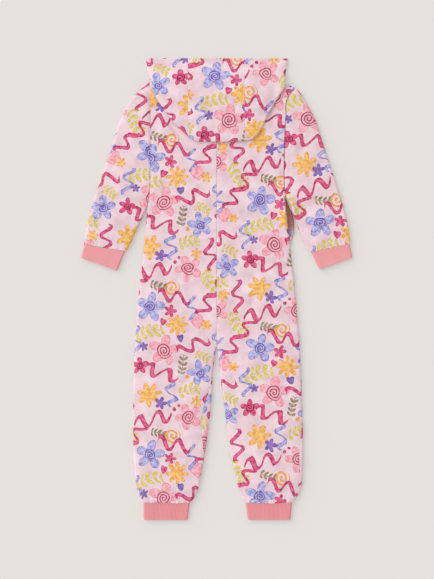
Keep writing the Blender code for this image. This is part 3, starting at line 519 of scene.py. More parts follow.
@dataclass
class Lie:
    """How the whole garment lies: swollen between its edges, creased, and gathered at the cuffs."""

    crown: float = 4.0
    reach: float = 58.0
    unevenness: float = 0.09
    full_from: tuple = (0.7, 0.8)  # share of the crown from which creases are full, above and below
    floor_share: float = 0.55  # how much of a crease shows in the cloth on the floor
    bunches: tuple = (Bunch(165, 181, 20, 46, 10.5), Bunch(-166, 176, 20, 26, 2.5))
    creases: tuple = tuple(Crease(*row) for row in (
        (-132, 66, -28, -92, 15, 2.3), (136, 74, 26, -70, 15, 2.1), (-92, -8, -16, -108, 13, 1.6, -0.08),
        (96, 4, 20, -104, 13, 1.5, -0.08), (-152, 200, -86, 148, 13, 2.2), (152, 222, 92, 170, 13, 2.4),
        (-154, 232, -96, 214, 11, 1.3), (152, 258, 100, 236, 11, 1.5, -0.1), (-152, -118, -88, -210, 17, 1.8),
        (162, -132, 92, -228, 17, 1.8), (-40, -150, -92, -232, 13, 1.3, -0.1),
        (40, -152, 98, -240, 13, 1.4, -0.1), (-160, -326, -62, -352, 14, 2), (62, -312, 176, -350, 14, 2),
        (-176, -404, -84, -420, 12, 1.5, -0.08), (84, -398, 186, -424, 12, 1.6),
        (-228, 360, -172, 312, 14, 2.2), (230, 350, 178, 296, 14, 2.4), (-236, 300, -186, 262, 12, 1.5, -0.1),
        (240, 286, 196, 250, 12, 1.6, -0.1), (-272, 206, -206, 176, 13, 2), (272, 212, 208, 188, 13, 2),
        (-286, 150, -226, 132, 11, 1.4), (292, 146, 232, 134, 11, 1.4), (-122, 452, -142, 352, 12, 1.6),
        (126, 444, 144, 344, 12, 1.8), (-60, 250, 10, 150, 22, 0.9), (80, 120, 40, -20, 24, 0.9),
        (-172, 474, -61, 329, 4, 2.4, 0.05),
    ))
    gathers: tuple = (
        Gather((-172, -490), (-60, -490), 0.95, 13, 13.5), Gather((176, -490), (64, -490), 0.95, 13, 12.6),
        Gather((-306, 103), (-208, 87), 0.5, 10, 14.5), Gather((307, 105), (215, 84), 0.5, 10, 13.8),
    )
    swell: HeightField = field(init=False)

    def __post_init__(self) -> None:
        """Work out the swell once, for all pieces."""
        outline, ends = CUT.outline()
        self.swell = puffed(outline, self.crown, self.reach, ends)

    def rise(self, x: Array, y: Array) -> Array:
        """Swell of the upper cloth, with a long shallow unevenness: a few slow sines, under a millimetre."""
        slow = np.sin(x / 47.0 + y / 61.0 + 0.6) + np.sin(y / 39.0 - x / 83.0 + 2.1)
        return self.swell.at(x, y) * (1.0 + self.unevenness * slow)

    def upper(self, x: Array, y: Array) -> Array:
        """Height added to cloth on top: swell and gathers, less the creases, which fade at the outline.

        Args:
            x, y: Plan places.

        Returns:
            Heights.
        """
        lift = self.rise(x, y)
        deep = sum(crease.depth_at(x, y) for crease in self.creases)
        gathered = sum(gather.height_at(x, y) for gather in self.gathers)
        bunched = sum(bunch.height_at(x, y) for bunch in self.bunches)
        full = np.clip(lift / (self.full_from[0] * self.crown), 0.0, 1.0)
        return lift - deep * full + gathered + bunched

    def lower(self, x: Array, y: Array) -> Array:
        """Height by which the cloth that lies on the floor is pushed up along the same creases."""
        deep = self.floor_share * sum(np.maximum(crease.depth_at(x, y), 0) for crease in self.creases)
        return deep * np.clip(self.rise(x, y) / (self.full_from[1] * self.crown), 0, 1)


def surface_normals(grid: Array, hint: Array, closed: bool) -> Array:
    """Unit normals of a grid: the cross product of its two directions, on the side of the hint.

    Args:
        grid: Points (rows, columns, 3).
        hint: Rough normals of the same shape.
        closed: Whether the columns run round a tube.

    Returns:
        Normals (rows, columns, 3).
    """
    if closed:
        across = np.roll(grid, -1, axis=1) - np.roll(grid, 1, axis=1)
    else:
        across = np.gradient(grid, axis=1)
    normal = np.cross(across, np.gradient(grid, axis=0))
    size = np.linalg.norm(normal, axis=-1, keepdims=True)
    normal = np.where(size > 1e-9, normal / np.maximum(size, 1e-9), hint)
    return normal * np.where(np.sum(normal * hint, axis=-1, keepdims=True) < 0, -1.0, 1.0)


def linked(name: str, data: ID) -> Object:
    """An object of its data, linked to the scene."""
    bpy.context.scene.collection.objects.link(made := bpy.data.objects.new(name, data))
    return made


def mesh_object(name: str, points: Array, quads: Array, materials: list,
                cloth: Array | None = None, slots: Array | None = None) -> Object:
    """Make a smooth mesh object in metres, its faces turned outward by the sign of its volume.

    Args:
        name: The piece's name.
        points: Points in millimetres (n, 3).
        quads: Point numbers (m, 4).
        materials: Materials, in slot order.
        cloth: Place on the uncut cloth of every face corner (m, 4, 2), in metres.
        slots: Material slot of every face.

    Returns:
        The linked object.
    """
    a, b, c, d = (points[quads[:, i]] for i in range(4))
    volume = np.sum(a * (np.cross(b, c) + np.cross(c, d)))
    if volume < 0:
        quads = quads[:, ::-1]
        cloth = None if cloth is None else cloth[:, ::-1]
    mesh = bpy.data.meshes.new(name)
    mesh.from_pydata((points * MM).tolist(), [], quads.tolist())
    mesh.polygons.foreach_set("use_smooth", np.ones(len(quads), bool))
    if slots is not None:
        mesh.polygons.foreach_set("material_index", slots.astype(np.int32))
    if cloth is not None:
        layer = mesh.uv_layers.new(name="cloth")
        layer.data.foreach_set("uv", cloth.astype(np.float32).ravel())
    for material in materials:
        mesh.materials.append(material)
    mesh.update()
    return linked(name, mesh)


def grid_quads(numbers: Array) -> Array:
    """Quads of a grid of point numbers, or of the values at its corners."""
    joined = np.stack((numbers[:-1, :-1], numbers[1:, :-1], numbers[1:, 1:], numbers[:-1, 1:]), axis=2)
    return joined.reshape((-1, 4) + numbers.shape[2:])


@dataclass
class ClothSheet:
    """A grid of cloth: its outer face, rough normals, distances to its edges and place on the bolt."""

    outer: Array  # points of the outer face (rows, columns, 3)
    hint: Array  # rough outward normals
    edge: Array  # distance along the cloth from each point to the nearest cut edge or seam
    closed: bool = False  # whether the columns run round a tube
    flat: tuple = (0, -1)  # first and last row, or column, of the stretch that lies flat
    by_rows: bool = True  # whether the cloth turns over from column to column, not from row to row
    mirrored: bool = False  # whether the piece lies face down, so that its print is seen from below
    origin: tuple = (0.0, 0.0)  # where on the bolt the piece is cut
    turn: float = 0.0  # angle of the piece on the bolt, in degrees
    knit: Array | None = None  # place of every corner in metres, for a piece that counts its own
    crush: Array | None = None  # share of painted shade at every point, from 0 to 1, standing in for a shadow
    heading: int = 4  # columns over which the cloth's direction is read where it turns over
    thinnest: float = 0.12  # share of the thickness left at a cut edge

    def bolt_places(self) -> Array:
        """Place on the uncut cloth: the plan where the piece lies flat, unrolled straight on beyond it.

        Returns:
            Places in metres.
        """
        if self.knit is not None:
            return self.knit
        grid = np.concatenate([self.outer, self.outer[:, :1]], axis=1) if self.closed else self.outer
        grid = grid if self.by_rows else np.swapaxes(grid, 0, 1)
        places = grid[..., :2].copy()
        steps = np.linalg.norm(np.diff(grid, axis=1), axis=-1)
        first, last = self.flat[0], self.flat[1] % grid.shape[1]
        ahead = unit(places[:, last] - places[:, last - self.heading])
        behind = unit(places[:, first] - places[:, first + self.heading])
        beyond = np.cumsum(steps[:, last:], axis=1)[..., None]
        before = np.cumsum(steps[:, :first][:, ::-1], axis=1)[:, ::-1, None]
        places[:, last + 1:] = places[:, last:last + 1] + ahead[:, None] * beyond
        places[:, :first] = places[:, first:first + 1] + behind[:, None] * before
        places = places if self.by_rows else np.swapaxes(places, 0, 1)
        places = places * np.array([-1.0 if self.mirrored else 1.0, 1.0])
        cosine, sine = math.cos(math.radians(self.turn)), math.sin(math.radians(self.turn))
        turned = np.stack([places[..., 0] * cosine - places[..., 1] * sine,
                           places[..., 0] * sine + places[..., 1] * cosine], axis=-1)
        return (turned + np.array(self.origin)) * MM

    def wall(self, name: str, thickness: float, finish: Material, lining: Material) -> Object:
        """Closed wall of cloth whose two faces meet in a half round at every edge.

        The two faces lie half the thickness off a middle surface, times sqrt(1 - (1 - e / h) squared)
        within h, half the thickness, of an edge.

        Args:
            name: The piece's name.
            thickness: Thickness of the cloth.
            finish: Material of the outer face and the edges.
            lining: Material of the inner face.

        Returns:
            The piece.
        """
        normals = surface_normals(self.outer, self.hint, self.closed)
        half = thickness / 2.0
        ease = self.thinnest + (1.0 - self.thinnest) * np.sqrt(dome(self.edge, half))
        middle = self.outer - normals * half
        offset = normals * (half * ease)[..., None]
        points = np.concatenate([(middle + offset).reshape(-1, 3), (middle - offset).reshape(-1, 3)])
        points[:, 2] = np.maximum(points[:, 2], 0.0)
        rows, columns = self.outer.shape[:2]
        outside = np.arange(rows * columns).reshape(rows, columns)
        if self.closed:
            outside = np.concatenate([outside, outside[:, :1]], axis=1)
        inside = outside + rows * columns
        places = self.bolt_places()
        faces = [grid_quads(outside), grid_quads(inside)[:, ::-1]]
        corners = [grid_quads(places), grid_quads(places)[:, ::-1]]
        rims = [(outside[0], inside[0], places[0]), (outside[-1][::-1], inside[-1][::-1], places[-1][::-1])]
        if not self.closed:
            rims += [(outside[::-1, 0], inside[::-1, 0], places[::-1, 0]),
                     (outside[:, -1], inside[:, -1], places[:, -1])]
        for out, back, place in rims:
            faces.append(np.stack([out[:-1], out[1:], back[1:], back[:-1]], axis=-1))
            corners.append(np.stack([place[:-1], place[1:], place[1:], place[:-1]], axis=1))
        slots = np.zeros(sum(len(part) for part in faces), np.int32)
        slots[len(faces[0]):len(faces[0]) + len(faces[1])] = 1
        made = mesh_object(name, points, np.concatenate(faces), [finish, lining],
                           np.concatenate(corners), slots)
        # Painted shade: the marked points carry their share to the fleece material, which darkens them there.
        if self.crush is not None:
            layer = made.data.attributes.new("crush", "FLOAT", "POINT")
            layer.data.foreach_set("value", np.tile(self.crush.ravel(), 2).astype(np.float32))
        return made


def bead(half: tuple, around: int = 8, rings: int = 3) -> tuple[Array, Array]:
    """A small closed ellipsoid along X: rings at cos a, of radius sin a, and a tiny ring at each pole.

    Args:
        half: Half lengths along X, Y and Z.
        around: Points in a ring.
        rings: Rings between the poles.

    Returns:
        Points (n, 3) and quads (m, 4), the poles closed by folded quads.
    """
    a = np.linspace(0.0, math.pi, rings + 2)[1:-1]
    b = np.arange(around) * TAU / around
    ring = np.stack(np.broadcast_arrays(np.cos(a)[:, None], np.sin(a)[:, None] * np.cos(b),
                                        np.sin(a)[:, None] * np.sin(b)), axis=-1).reshape(-1, 3)
    points = np.concatenate([ring, [[1.0, 0, 0], [-1.0, 0, 0]]]) * np.array(half)
    numbers = np.arange(rings * around).reshape(rings, around)
    numbers = np.concatenate([numbers, numbers[:, :1]], axis=1)
    body = grid_quads(numbers)
    count = rings * around
    first = np.stack([numbers[0, 0:-1:2], numbers[0, 1::2], numbers[0, 2::2],
                      np.full(around // 2, count)], axis=-1)
    last = np.stack([numbers[-1, 2::2], numbers[-1, 1::2], numbers[-1, 0:-1:2],
                     np.full(around // 2, count + 1)], axis=-1)
    return points, np.concatenate([body, first, last])


def beads_along(name: str, centres: Array, frames: Array, half: tuple, finish: Material) -> Object:
    """One mesh of equal small beads: every bead's points turned by its frame and moved to its centre.

    Args:
        name: The piece's name.
        centres: Centres (n, 3).
        frames: Rows are each bead's own X, Y and Z directions (n, 3, 3).
        half: Half lengths of a bead.
        finish: Material.

    Returns:
        The piece.
    """
    points, quads = bead(half)
    placed = np.einsum("pa,nab->npb", points, frames) + centres[:, None]
    numbers = quads[None] + (np.arange(len(centres)) * len(points))[:, None, None]
    return mesh_object(name, placed.reshape(-1, 3), numbers.reshape(-1, 4), [finish])


def read_off(wanted: Array, known: Array, points: Array) -> Array:
    """Points of a line (n, 3) at the wanted distances, straight between the known ones."""
    return np.stack([np.interp(wanted, known, points[:, axis]) for axis in range(3)], axis=-1)


def stitches(name: str, path: Array, up: Array, finish: Material,
             length: float = 2.6, gap: float = 1.0, thread: float = 0.33) -> Object:
    """A row of thread stitches along a path on cloth, evenly spaced by length and half sunk in it.

    Args:
        name: The piece's name.
        path: Points on the cloth (n, 3).
        up: Normals there.
        finish: Material of the thread.
        length: Length of a stitch.
        gap: Space between two.
        thread: Half the thread's thickness.

    Returns:
        The piece.
    """
    run = run_along(path)
    places = np.arange(length, run[-1] - length, length + gap)
    centres = read_off(places, run, path)
    ahead = unit(read_off(places + 0.5, run, path) - centres)
    side = unit(np.cross(read_off(places, run, up), ahead))
    frames = np.stack([ahead, side, np.cross(ahead, side)], axis=1)
    return beads_along(name, centres, frames, (length / 2, thread, thread), finish)


def linear(code: str) -> tuple[float, float, float, float]:
    """Linear colour of an sRGB hex value, with alpha 1."""
    values = [int(code[i:i + 2], 16) / 255.0 for i in (1, 3, 5)]
    return (*(v / 12.92 if v <= 0.04045 else ((v + 0.055) / 1.055) ** 2.4 for v in values), 1.0)


def fill(tree: NodeTree, node: Node, inputs: dict | tuple) -> None:
    """Give a node's sockets their values and links.

    Args:
        tree: Node tree.
        node: The node.
        inputs: Values or other nodes' outputs, by the socket's name or number, or in order.
    """
    for key, value in inputs.items() if isinstance(inputs, dict) else enumerate(inputs):
        if isinstance(value, NodeSocket):
            tree.links.new(value, node.inputs[key])
        else:
            node.inputs[key].default_value = value


def put(tree: NodeTree, kind: str, inputs: dict | tuple = (), operation: str = "", out: int | str = 0,
        **settings: object) -> NodeSocket:
    """Add a node with its settings, values and links.

    Args:
        tree: Node tree.
        kind: Node type.
        inputs: As fill takes them.
        operation: What a maths node does.
        out: Output to return.
        settings: Other attributes of the node.

    Returns:
        The named output of the new node.
    """
    node = tree.nodes.new(kind)
    if operation:
        node.operation = operation
    for name, value in settings.items():
        setattr(node, name, value)
    fill(tree, node, inputs)
    return node.outputs[out]


def new_material(name: str) -> tuple[Material, NodeTree, Node]:
    """A node material with only its Principled shader and output.

    Args:
        name: Material name.

    Returns:
        The material, its tree and its shader node.
    """
    made = bpy.data.materials.new(name)
    made.use_nodes = True
    return made, made.node_tree, made.node_tree.nodes["Principled BSDF"]


class Ink(Enum):
    """Printed colours in the order in which they lie on each other: pale, deep, and how well they cover."""

    BLUSH = ("#FBC0CA", "#EA8199", 0.92)
    LIME = ("#EADF86", "#CDBB44", 0.92)
    OLIVE = ("#AFA36C", "#766B3C", 0.90)
    GOLD = ("#FBCF7A", "#E2912E", 0.95)
    SKY = ("#C6C8EE", "#7C74C2", 0.95)
    VIOLET = ("#8F70C2", "#5E3F98", 0.92)
    ROSE = ("#EE6A9C", "#AE124E", 0.96)
    WINE = ("#A0144C", "#740A38", 0.92)


class Shape(Enum):
    """Kinds of motif."""

    BLOSSOM = 1
    TENDRIL = 2
    CURL = 3
    SPRIG = 4
    HEART = 5
    DOT = 6


# What a row of the print's table gives after a motif's centre, turn and size.
MEASURES = {Shape.BLOSSOM: ("petals",), Shape.TENDRIL: ("stroke", "pitch", "swing", "lean"),
            Shape.CURL: ("stroke", "pitch"), Shape.SPRIG: ("pitch", "swing", "lean")}


@dataclass(frozen=True)
class Motif:
    """One motif of the repeat, in millimetres and degrees."""

    shape: Shape
    ink: Ink
    x: float
    y: float
    turn: float
    size: float  # radius, or half the length of a tendril or sprig
    stroke: float = 2.4  # half width of a drawn line
    pitch: float = 24.0  # wave length of a tendril, turn spacing of a curl or leaf spacing of a sprig
    swing: float = 8.0  # height of a tendril's waves, or length of a sprig's leaves
    lean: float = 0.5  # how far a tendril's waves lean over, or how far a sprig bends
    petals: int = 5


@dataclass(frozen=True)
class GardenPrint:
    """Painted flowers, tendrils and sprigs scattered over a repeat of 190 by 340 mm.

    Each motif is a distance in millimetres, worked out in its own turned place in the repeating cell.
    Motifs of one ink are joined by the least distance, so that an ink's edge pools darker all round it.
    """

    repeat: tuple = (190.0, 340.0)
    petal_depth: float = 0.60
    flank: float = 0.38  # how much a tendril's stroke differs between its two flanks
    slant: float = 0.55  # how far a leaf leads along its stem, for each step away from it
    stem: float = 0.9  # half width of a sprig's stem
    heart: tuple = (0.62, 0.85)  # how far a heart's sides hang down, and its circle's radius
    wander: tuple = ((0.034, 7.0), (0.19, 1.5))  # outlines stray by 1.5 mm over 30 mm, 0.5 mm over 5 mm
    wash: tuple = (0.36, 0.64, -0.15, 0.85)  # noise from and to, and the tone it gives
    pool: tuple = (-3.2, -0.3, 0.0, 0.6)  # distance from and to, and the ink that gathers there
    bleed: tuple = (0.45, -0.55, 0.0)  # distance from and to over which an ink's edge fades
    motifs: tuple = tuple(
        Motif(shape, ink, *row[:4], **dict(zip(MEASURES.get(shape, ()), row[4:]))) for shape, ink, *rows in (
            (Shape.BLOSSOM, Ink.BLUSH, (74, 204, 10, 36.8), (130, 52, 40, 31.5)),
            (Shape.HEART, Ink.BLUSH, (150, 266, 15, 17.9)),
            (Shape.SPRIG, Ink.LIME, (36, 248, 18, 34, 15, 14.8, 0.008), (178, 20, -56, 30, 14, 13.8, -0.01),
             (132, 116, 12, 25, 13, 12.7, 0.01), (164, 190, -24, 18, 10, 10.6, 0.01)),
            (Shape.SPRIG, Ink.OLIVE, (116, 172, 78, 22, 11, 9.5, 0), (62, 12, -14, 19, 10, 9.5, 0)),
            (Shape.DOT, Ink.GOLD, (128, 142, 0, 4.6)),
            (Shape.BLOSSOM, Ink.GOLD, (170, 262, 0, 12.6, 6), (148, 86, 20, 13.7, 6), (104, 262, 0, 26.2, 8),
             (40, 102, 12, 29.4, 7)),
            (Shape.CURL, Ink.GOLD, (92, 8, 30, 17.9, 2.4, 9.5)),
            (Shape.BLOSSOM, Ink.SKY, (42, 304, 8, 34.6), (156, 152, 30, 29.4)),
            (Shape.TENDRIL, Ink.SKY, (8, 226, 98, 32, 3.2, 36, 10.5, 0.2),
             (90, 104, 98, 31, 3.2, 35, 10, -0.2), (138, 300, -80, 27, 3.1, 34, 9.5, 0.2)),
            (Shape.BLOSSOM, Ink.VIOLET, (66, 82, 0, 14.7), (28, 214, 30, 10.5)),
            (Shape.HEART, Ink.VIOLET, (112, 230, 10, 9.5)),
            (Shape.CURL, Ink.VIOLET, (42, 304, 8, 13.7, 1.3, 5.2), (156, 152, 30, 10.5, 1.2, 4.8)),
            (Shape.TENDRIL, Ink.ROSE, (96, 328, -10, 38, 3.9, 40, 11.5, 0.25),
             (172, 312, 62, 34, 3.7, 38, 11, 0.25), (140, 216, 24, 39, 3.9, 41, 12, 0.25),
             (68, 152, -16, 40, 3.9, 42, 12, -0.25), (48, 46, 14, 45, 4, 43, 12.5, -0.25),
             (180, 84, 100, 36, 3.7, 39, 11, 0.25), (8, 8, 56, 30, 3.7, 38, 11, 0.25)),
            (Shape.BLOSSOM, Ink.ROSE, (18, 168, 20, 21), (88, 296, 0, 14.7)),
            (Shape.HEART, Ink.ROSE, (72, 268, -18, 9.5)),
            (Shape.DOT, Ink.ROSE, (98, 68, 0, 4.4), (108, 78, 0, 3.6)),
            (Shape.CURL, Ink.WINE, (74, 204, 10, 18.9, 1.2, 6.6), (18, 168, 60, 9.5, 1.1, 4.6),
             (130, 52, 80, 15.8, 1.1, 6.0)),
        ) for row in rows)

    def place(self, tree: NodeTree, cloth: NodeSocket, motif: Motif) -> tuple:
        """The motif's own turned coordinates, with the repeat wrapped round its centre.

        Args:
            tree: Node tree.
            cloth: Place on the cloth in millimetres.
            motif: The motif.

        Returns:
            The turned vector and its x and y.
        """
        low, high = ((*(at + sign * size / 2 for at, size in zip((motif.x, motif.y), self.repeat)), 0)
                     for sign in (-1, 1))
        wrapped = put(tree, VECTOR, (cloth, high, low), "WRAP")
        turned = put(tree, "ShaderNodeMapping", {
            "Vector": wrapped, "Location": (motif.x, motif.y, 0),
            "Rotation": (0, 0, math.radians(motif.turn))}, vector_type="TEXTURE")
        split = put(tree, "ShaderNodeSeparateXYZ", (turned,)).node
        return turned, split.outputs[0], split.outputs[1]

    def distance(self, tree: NodeTree, cloth: NodeSocket, motif: Motif) -> NodeSocket:
        """Distance in millimetres to the motif's edge, below 0 inside it.

        Blossom: r - R (0.4 + 0.6 |cos(n a / 2)|). Curl: distance to the turns of r = p a / 2 pi.
        Tendril: |y - swing sin u| / sqrt(1 + (swing k cos u) squared), u = k (x + lean y), less a stroke
        that is broad on one flank of each wave and thin on the other. Heart: a circle in
        (x, y - 0.62 |x|). Sprig: a bent stem, and slanted ellipses repeated along it on both sides.
        Tendril, sprig and curl end at the motif's size.

        Args:
            tree: Node tree.
            cloth: Place on the cloth in millimetres.
            motif: The motif.

        Returns:
            The distance.
        """
        turned, x, y = self.place(tree, cloth, motif)
        if motif.shape is Shape.TENDRIL:
            leaning = put(tree, MATH, (y, motif.lean, x), "MULTIPLY_ADD")
            phase = put(tree, MATH, (leaning, TAU / motif.pitch), "MULTIPLY")
            wave = put(tree, MATH, (phase,), "SINE")
            off = put(tree, MATH, (wave, -motif.swing, y), "MULTIPLY_ADD")
            off = put(tree, MATH, (off,), "ABSOLUTE")
            slope = put(tree, MATH, (phase,), "COSINE")
            drawn = put(tree, MATH, (slope, self.flank * motif.stroke, -motif.stroke), "MULTIPLY_ADD")
            slope = put(tree, MATH, (slope, motif.swing * TAU / motif.pitch), "MULTIPLY")
            steep = put(tree, MATH, (slope, slope, 1.0), "MULTIPLY_ADD")
            steep = put(tree, MATH, (steep,), "INVERSE_SQRT")
            line = put(tree, MATH, (off, steep, drawn), "MULTIPLY_ADD")
            reach = put(tree, MATH, (x,), "ABSOLUTE")
        elif motif.shape is Shape.SPRIG:
            bent = put(tree, MATH, (x, x), "MULTIPLY")
            bent = put(tree, MATH, (bent, motif.lean, y), "MULTIPLY_ADD")
            away = put(tree, MATH, (bent,), "ABSOLUTE")
            leaf = put(tree, MATH, (away, -self.slant, x), "MULTIPLY_ADD")
            leaf = put(tree, MATH, (leaf, motif.pitch / 2, -motif.pitch / 2), "WRAP")
            along_leaf = put(tree, MATH, (away, 2.0 / motif.swing, -1.1), "MULTIPLY_ADD")
            across_leaf = put(tree, MATH, (leaf, 3.0 / motif.pitch), "MULTIPLY")
            blade = put(tree, "ShaderNodeCombineXYZ", (along_leaf, across_leaf))
            blade = put(tree, VECTOR, (blade,), "LENGTH", out="Value")
            blade = put(tree, MATH, (blade, motif.pitch / 3, -motif.pitch / 3), "MULTIPLY_ADD")
            stem = put(tree, MATH, (away, self.stem), "SUBTRACT")
            line = put(tree, MATH, (blade, stem), "MINIMUM")
            reach = put(tree, MATH, (x,), "ABSOLUTE")
        elif motif.shape is Shape.HEART:
            mirrored = put(tree, MATH, (x,), "ABSOLUTE")
            raised = put(tree, MATH, (mirrored, -self.heart[0], y), "MULTIPLY_ADD")
            spot = put(tree, "ShaderNodeCombineXYZ", (x, raised))
            spot = put(tree, VECTOR, (spot,), "LENGTH", out="Value")
            return put(tree, MATH, (spot, self.heart[1] * motif.size), "SUBTRACT")
        else:
            reach = put(tree, VECTOR, (turned,), "LENGTH", out="Value")
            if motif.shape is Shape.DOT:
                return put(tree, MATH, (reach, motif.size), "SUBTRACT")
            angle = put(tree, MATH, (y, x), "ARCTAN2")
            if motif.shape is Shape.BLOSSOM:
                petal = put(tree, MATH, (angle, motif.petals / 2), "MULTIPLY")
                petal = put(tree, MATH, (petal,), "COSINE")
                petal = put(tree, MATH, (petal,), "ABSOLUTE")
                depth = self.petal_depth * motif.size
                edge = put(tree, MATH, (petal, -depth, depth - motif.size), "MULTIPLY_ADD")
                return put(tree, MATH, (reach, edge), "ADD")
            turns = put(tree, MATH, (reach, 1.0 / motif.pitch), "MULTIPLY")
            turns = put(tree, MATH, (angle, -1.0 / TAU, turns), "MULTIPLY_ADD")
            turns = put(tree, MATH, (turns, 0.5, -0.5), "WRAP")
            turns = put(tree, MATH, (turns,), "ABSOLUTE")
            line = put(tree, MATH, (turns, motif.pitch, -motif.stroke), "MULTIPLY_ADD")
        reach = put(tree, MATH, (reach, motif.size), "SUBTRACT")
        return put(tree, MATH, (line, reach), "MAXIMUM")

    def paint(self, tree: NodeTree, cloth: NodeSocket, ground: NodeSocket) -> NodeSocket:
        """Lay the inks over the ground colour, uneven as watercolour is.

        Args:
            tree: Node tree.
            cloth: Place on the cloth in millimetres.
            ground: Colour of the unprinted ground.

        Returns:
            The printed colour.
        """
        for scale, amount in self.wander:
            stray = put(tree, NOISE, {"Vector": cloth, "Scale": scale, "Detail": 0}, out=1)
            cloth = put(tree, VECTOR, (stray, (amount, amount, 0), cloth), "MULTIPLY_ADD")
        wash = put(tree, NOISE, {"Vector": cloth, "Scale": 0.13, "Detail": 3, "Roughness": 0.6})
        wash = put(tree, RANGE, (wash, *self.wash), clamp=False)
        colour = ground
        for ink in Ink:
            pale, deep, cover = ink.value
            first, *others = (motif for motif in self.motifs if motif.ink is ink)
            nearest = self.distance(tree, cloth, first)
            for motif in others:
                found = self.distance(tree, cloth, motif)
                nearest = put(tree, MATH, (nearest, found), "MINIMUM")
            pooled = put(tree, RANGE, (nearest, *self.pool))
            tone = put(tree, MATH, (pooled, wash), "ADD", use_clamp=True)
            paint = put(tree, MIX, {0: tone, 6: linear(pale), 7: linear(deep)}, **COLOUR)
            mask = put(tree, RANGE, (nearest, *self.bleed, cover))
            colour = put(tree, MIX, {0: mask, 6: colour, 7: paint}, **COLOUR)
        return colour


@dataclass(frozen=True)
class BrushedFleece:
    """Polyester polar fleece, knitted, brushed and sheared, its face printed with dispersed dyes.

    The short raised fibres make it matt with a soft light edge, and lie in small uneven tufts.
    """

    name: str
    ground: str
    shade: str
    tuft: float = 1.9  # millimetres between tufts
    tuft_height: float = 0.34
    painted_shade_colour: str = "#AC716C"  # painted shade: dark colour laid over the cloth where a piece marks it, standing in for the shadow in the armpit gap
    pattern: GardenPrint | None = None

    def material(self) -> Material:
        """Ground mottled by the nap, the print over it, painted shade where a piece marks it, and tufts as
        bump at two sizes.

        Returns:
            The material.
        """
        made, tree, shader = new_material(self.name)
        place = put(tree, "ShaderNodeUVMap", uv_map="cloth")
        cloth = put(tree, VECTOR, (place, (1 / MM, 1 / MM, 1 / MM)), "MULTIPLY")
        nap = put(tree, NOISE, {"Vector": cloth, "Scale": 1.0 / self.tuft, "Detail": 4.0, "Roughness": 0.62})
        brushed = put(tree, NOISE, {"Vector": cloth, "Scale": 0.035, "Detail": 2.0})
        mottle = put(tree, MATH, (nap, 0.5, brushed), "MULTIPLY_ADD")
        mottle = put(tree, RANGE, (mottle, 0.55, 0.95))
        ground = put(tree, MIX, {0: mottle, 6: linear(self.ground), 7: linear(self.shade)}, **COLOUR)
        colour = self.pattern.paint(tree, cloth, ground) if self.pattern else ground
        # Painted shade: where the piece marks it, a dark colour covers the print, standing in for a shadow.
        crush = put(tree, "ShaderNodeAttribute", out="Fac", attribute_name="crush")
        colour = put(tree, MIX, {0: crush, 6: colour, 7: linear(self.painted_shade_colour)}, **COLOUR)
        light = put(tree, RANGE, (nap, 0.3, 0.7, 0.93, 1.05))
        colour = put(tree, VECTOR, {0: colour, 3: light}, "SCALE")
        bump = put(tree, BUMP, {"Strength": 0.75, "Distance": self.tuft_height * MM, "Height": nap})
        fill(tree, shader, {"Base Color": colour, "Normal": bump, "Roughness": 0.95,
                            "Specular IOR Level": 0.12, "Sheen Weight": 0.06, "Sheen Roughness": 0.5,
                            "Sheen Tint": linear("#FFF1F3")})
        return made


@dataclass(frozen=True)
class RibKnit:
    """Cotton rib knit with a little elastane: upright wales, matt, with the furrows between them painted
    darker as painted shade.
    """

    name: str = "rib_knit_cotton"
    wale: str = "#E99CA0"
    # painted shade in the furrows between the wales
    furrow: str = "#E08B91"
    loops: float = 1.6  # millimetres between the small loops up a wale
    wales: float = 3.1  # millimetres between two wales

    def material(self) -> Material:
        """Wales from the piece's own rows of ribs and loops up each of them.

        Returns:
            The material.
        """
        made, tree, shader = new_material(self.name)
        place = put(tree, "ShaderNodeUVMap", uv_map="cloth")
        scale = (TAU / self.wales / MM, TAU / self.loops / MM, 0)
        cloth = put(tree, VECTOR, (place, scale), "MULTIPLY")
        split = put(tree, "ShaderNodeSeparateXYZ", (cloth,)).node
        ridge = put(tree, MATH, (split.outputs[0],), "COSINE")
        ridge = put(tree, RANGE, (ridge, -1.0, 0.4))
        slant = put(tree, MATH, (ridge, 1.4, split.outputs[1]), "MULTIPLY_ADD")
        loop = put(tree, MATH, (slant,), "SINE")
        fuzz = put(tree, NOISE, {"Vector": place, "Scale": 420.0, "Detail": 3.0})
        tone = put(tree, MATH, (fuzz, 0.5, ridge), "MULTIPLY_ADD")
        tone = put(tree, RANGE, (tone, 0.2, 1.2))
        # Painted shade: the furrows between the wales are painted darker.
        colour = put(tree, MIX, {0: tone, 6: linear(self.furrow), 7: linear(self.wale)}, **COLOUR)
        height = put(tree, MATH, (loop, 0.3, fuzz), "MULTIPLY_ADD")
        bump = put(tree, BUMP, {"Strength": 0.5, "Distance": 0.25 * MM, "Height": height})
        fill(tree, shader, {"Base Color": colour, "Normal": bump, "Roughness": 0.9,
                            "Specular IOR Level": 0.15, "Sheen Weight": 0.12})
        return made


@dataclass(frozen=True)
class WovenTape:
    """Polyester zip tape, woven in a fine twill: flat, with a faint slanting grain."""

    name: str = "woven_polyester_tape"
    colour: str = "#E9A0AC"
    thread: float = 0.9  # millimetres between two slanting lines

    def material(self) -> Material:
        """Slanting twill lines as bump and tone.

        Returns:
            The material.
        """
        made, tree, shader = new_material(self.name)
        place = put(tree, COORDINATES, out="Object")
        twill = put(tree, "ShaderNodeTexWave", {
            "Vector": place, "Scale": 0.32 * TAU / (20.0 * self.thread * MM), "Distortion": 0.3},
            wave_type="BANDS", bands_direction="DIAGONAL")
        darker = tuple(0.72 * v for v in linear(self.colour)[:3]) + (1.0,)
        colour = put(tree, MIX, {0: twill, 6: darker, 7: linear(self.colour)}, **COLOUR)
        bump = put(tree, BUMP, {"Strength": 0.4, "Distance": 0.12 * MM, "Height": twill})
        fill(tree, shader, {"Base Color": colour, "Normal": bump, "Roughness": 0.75})
        return made


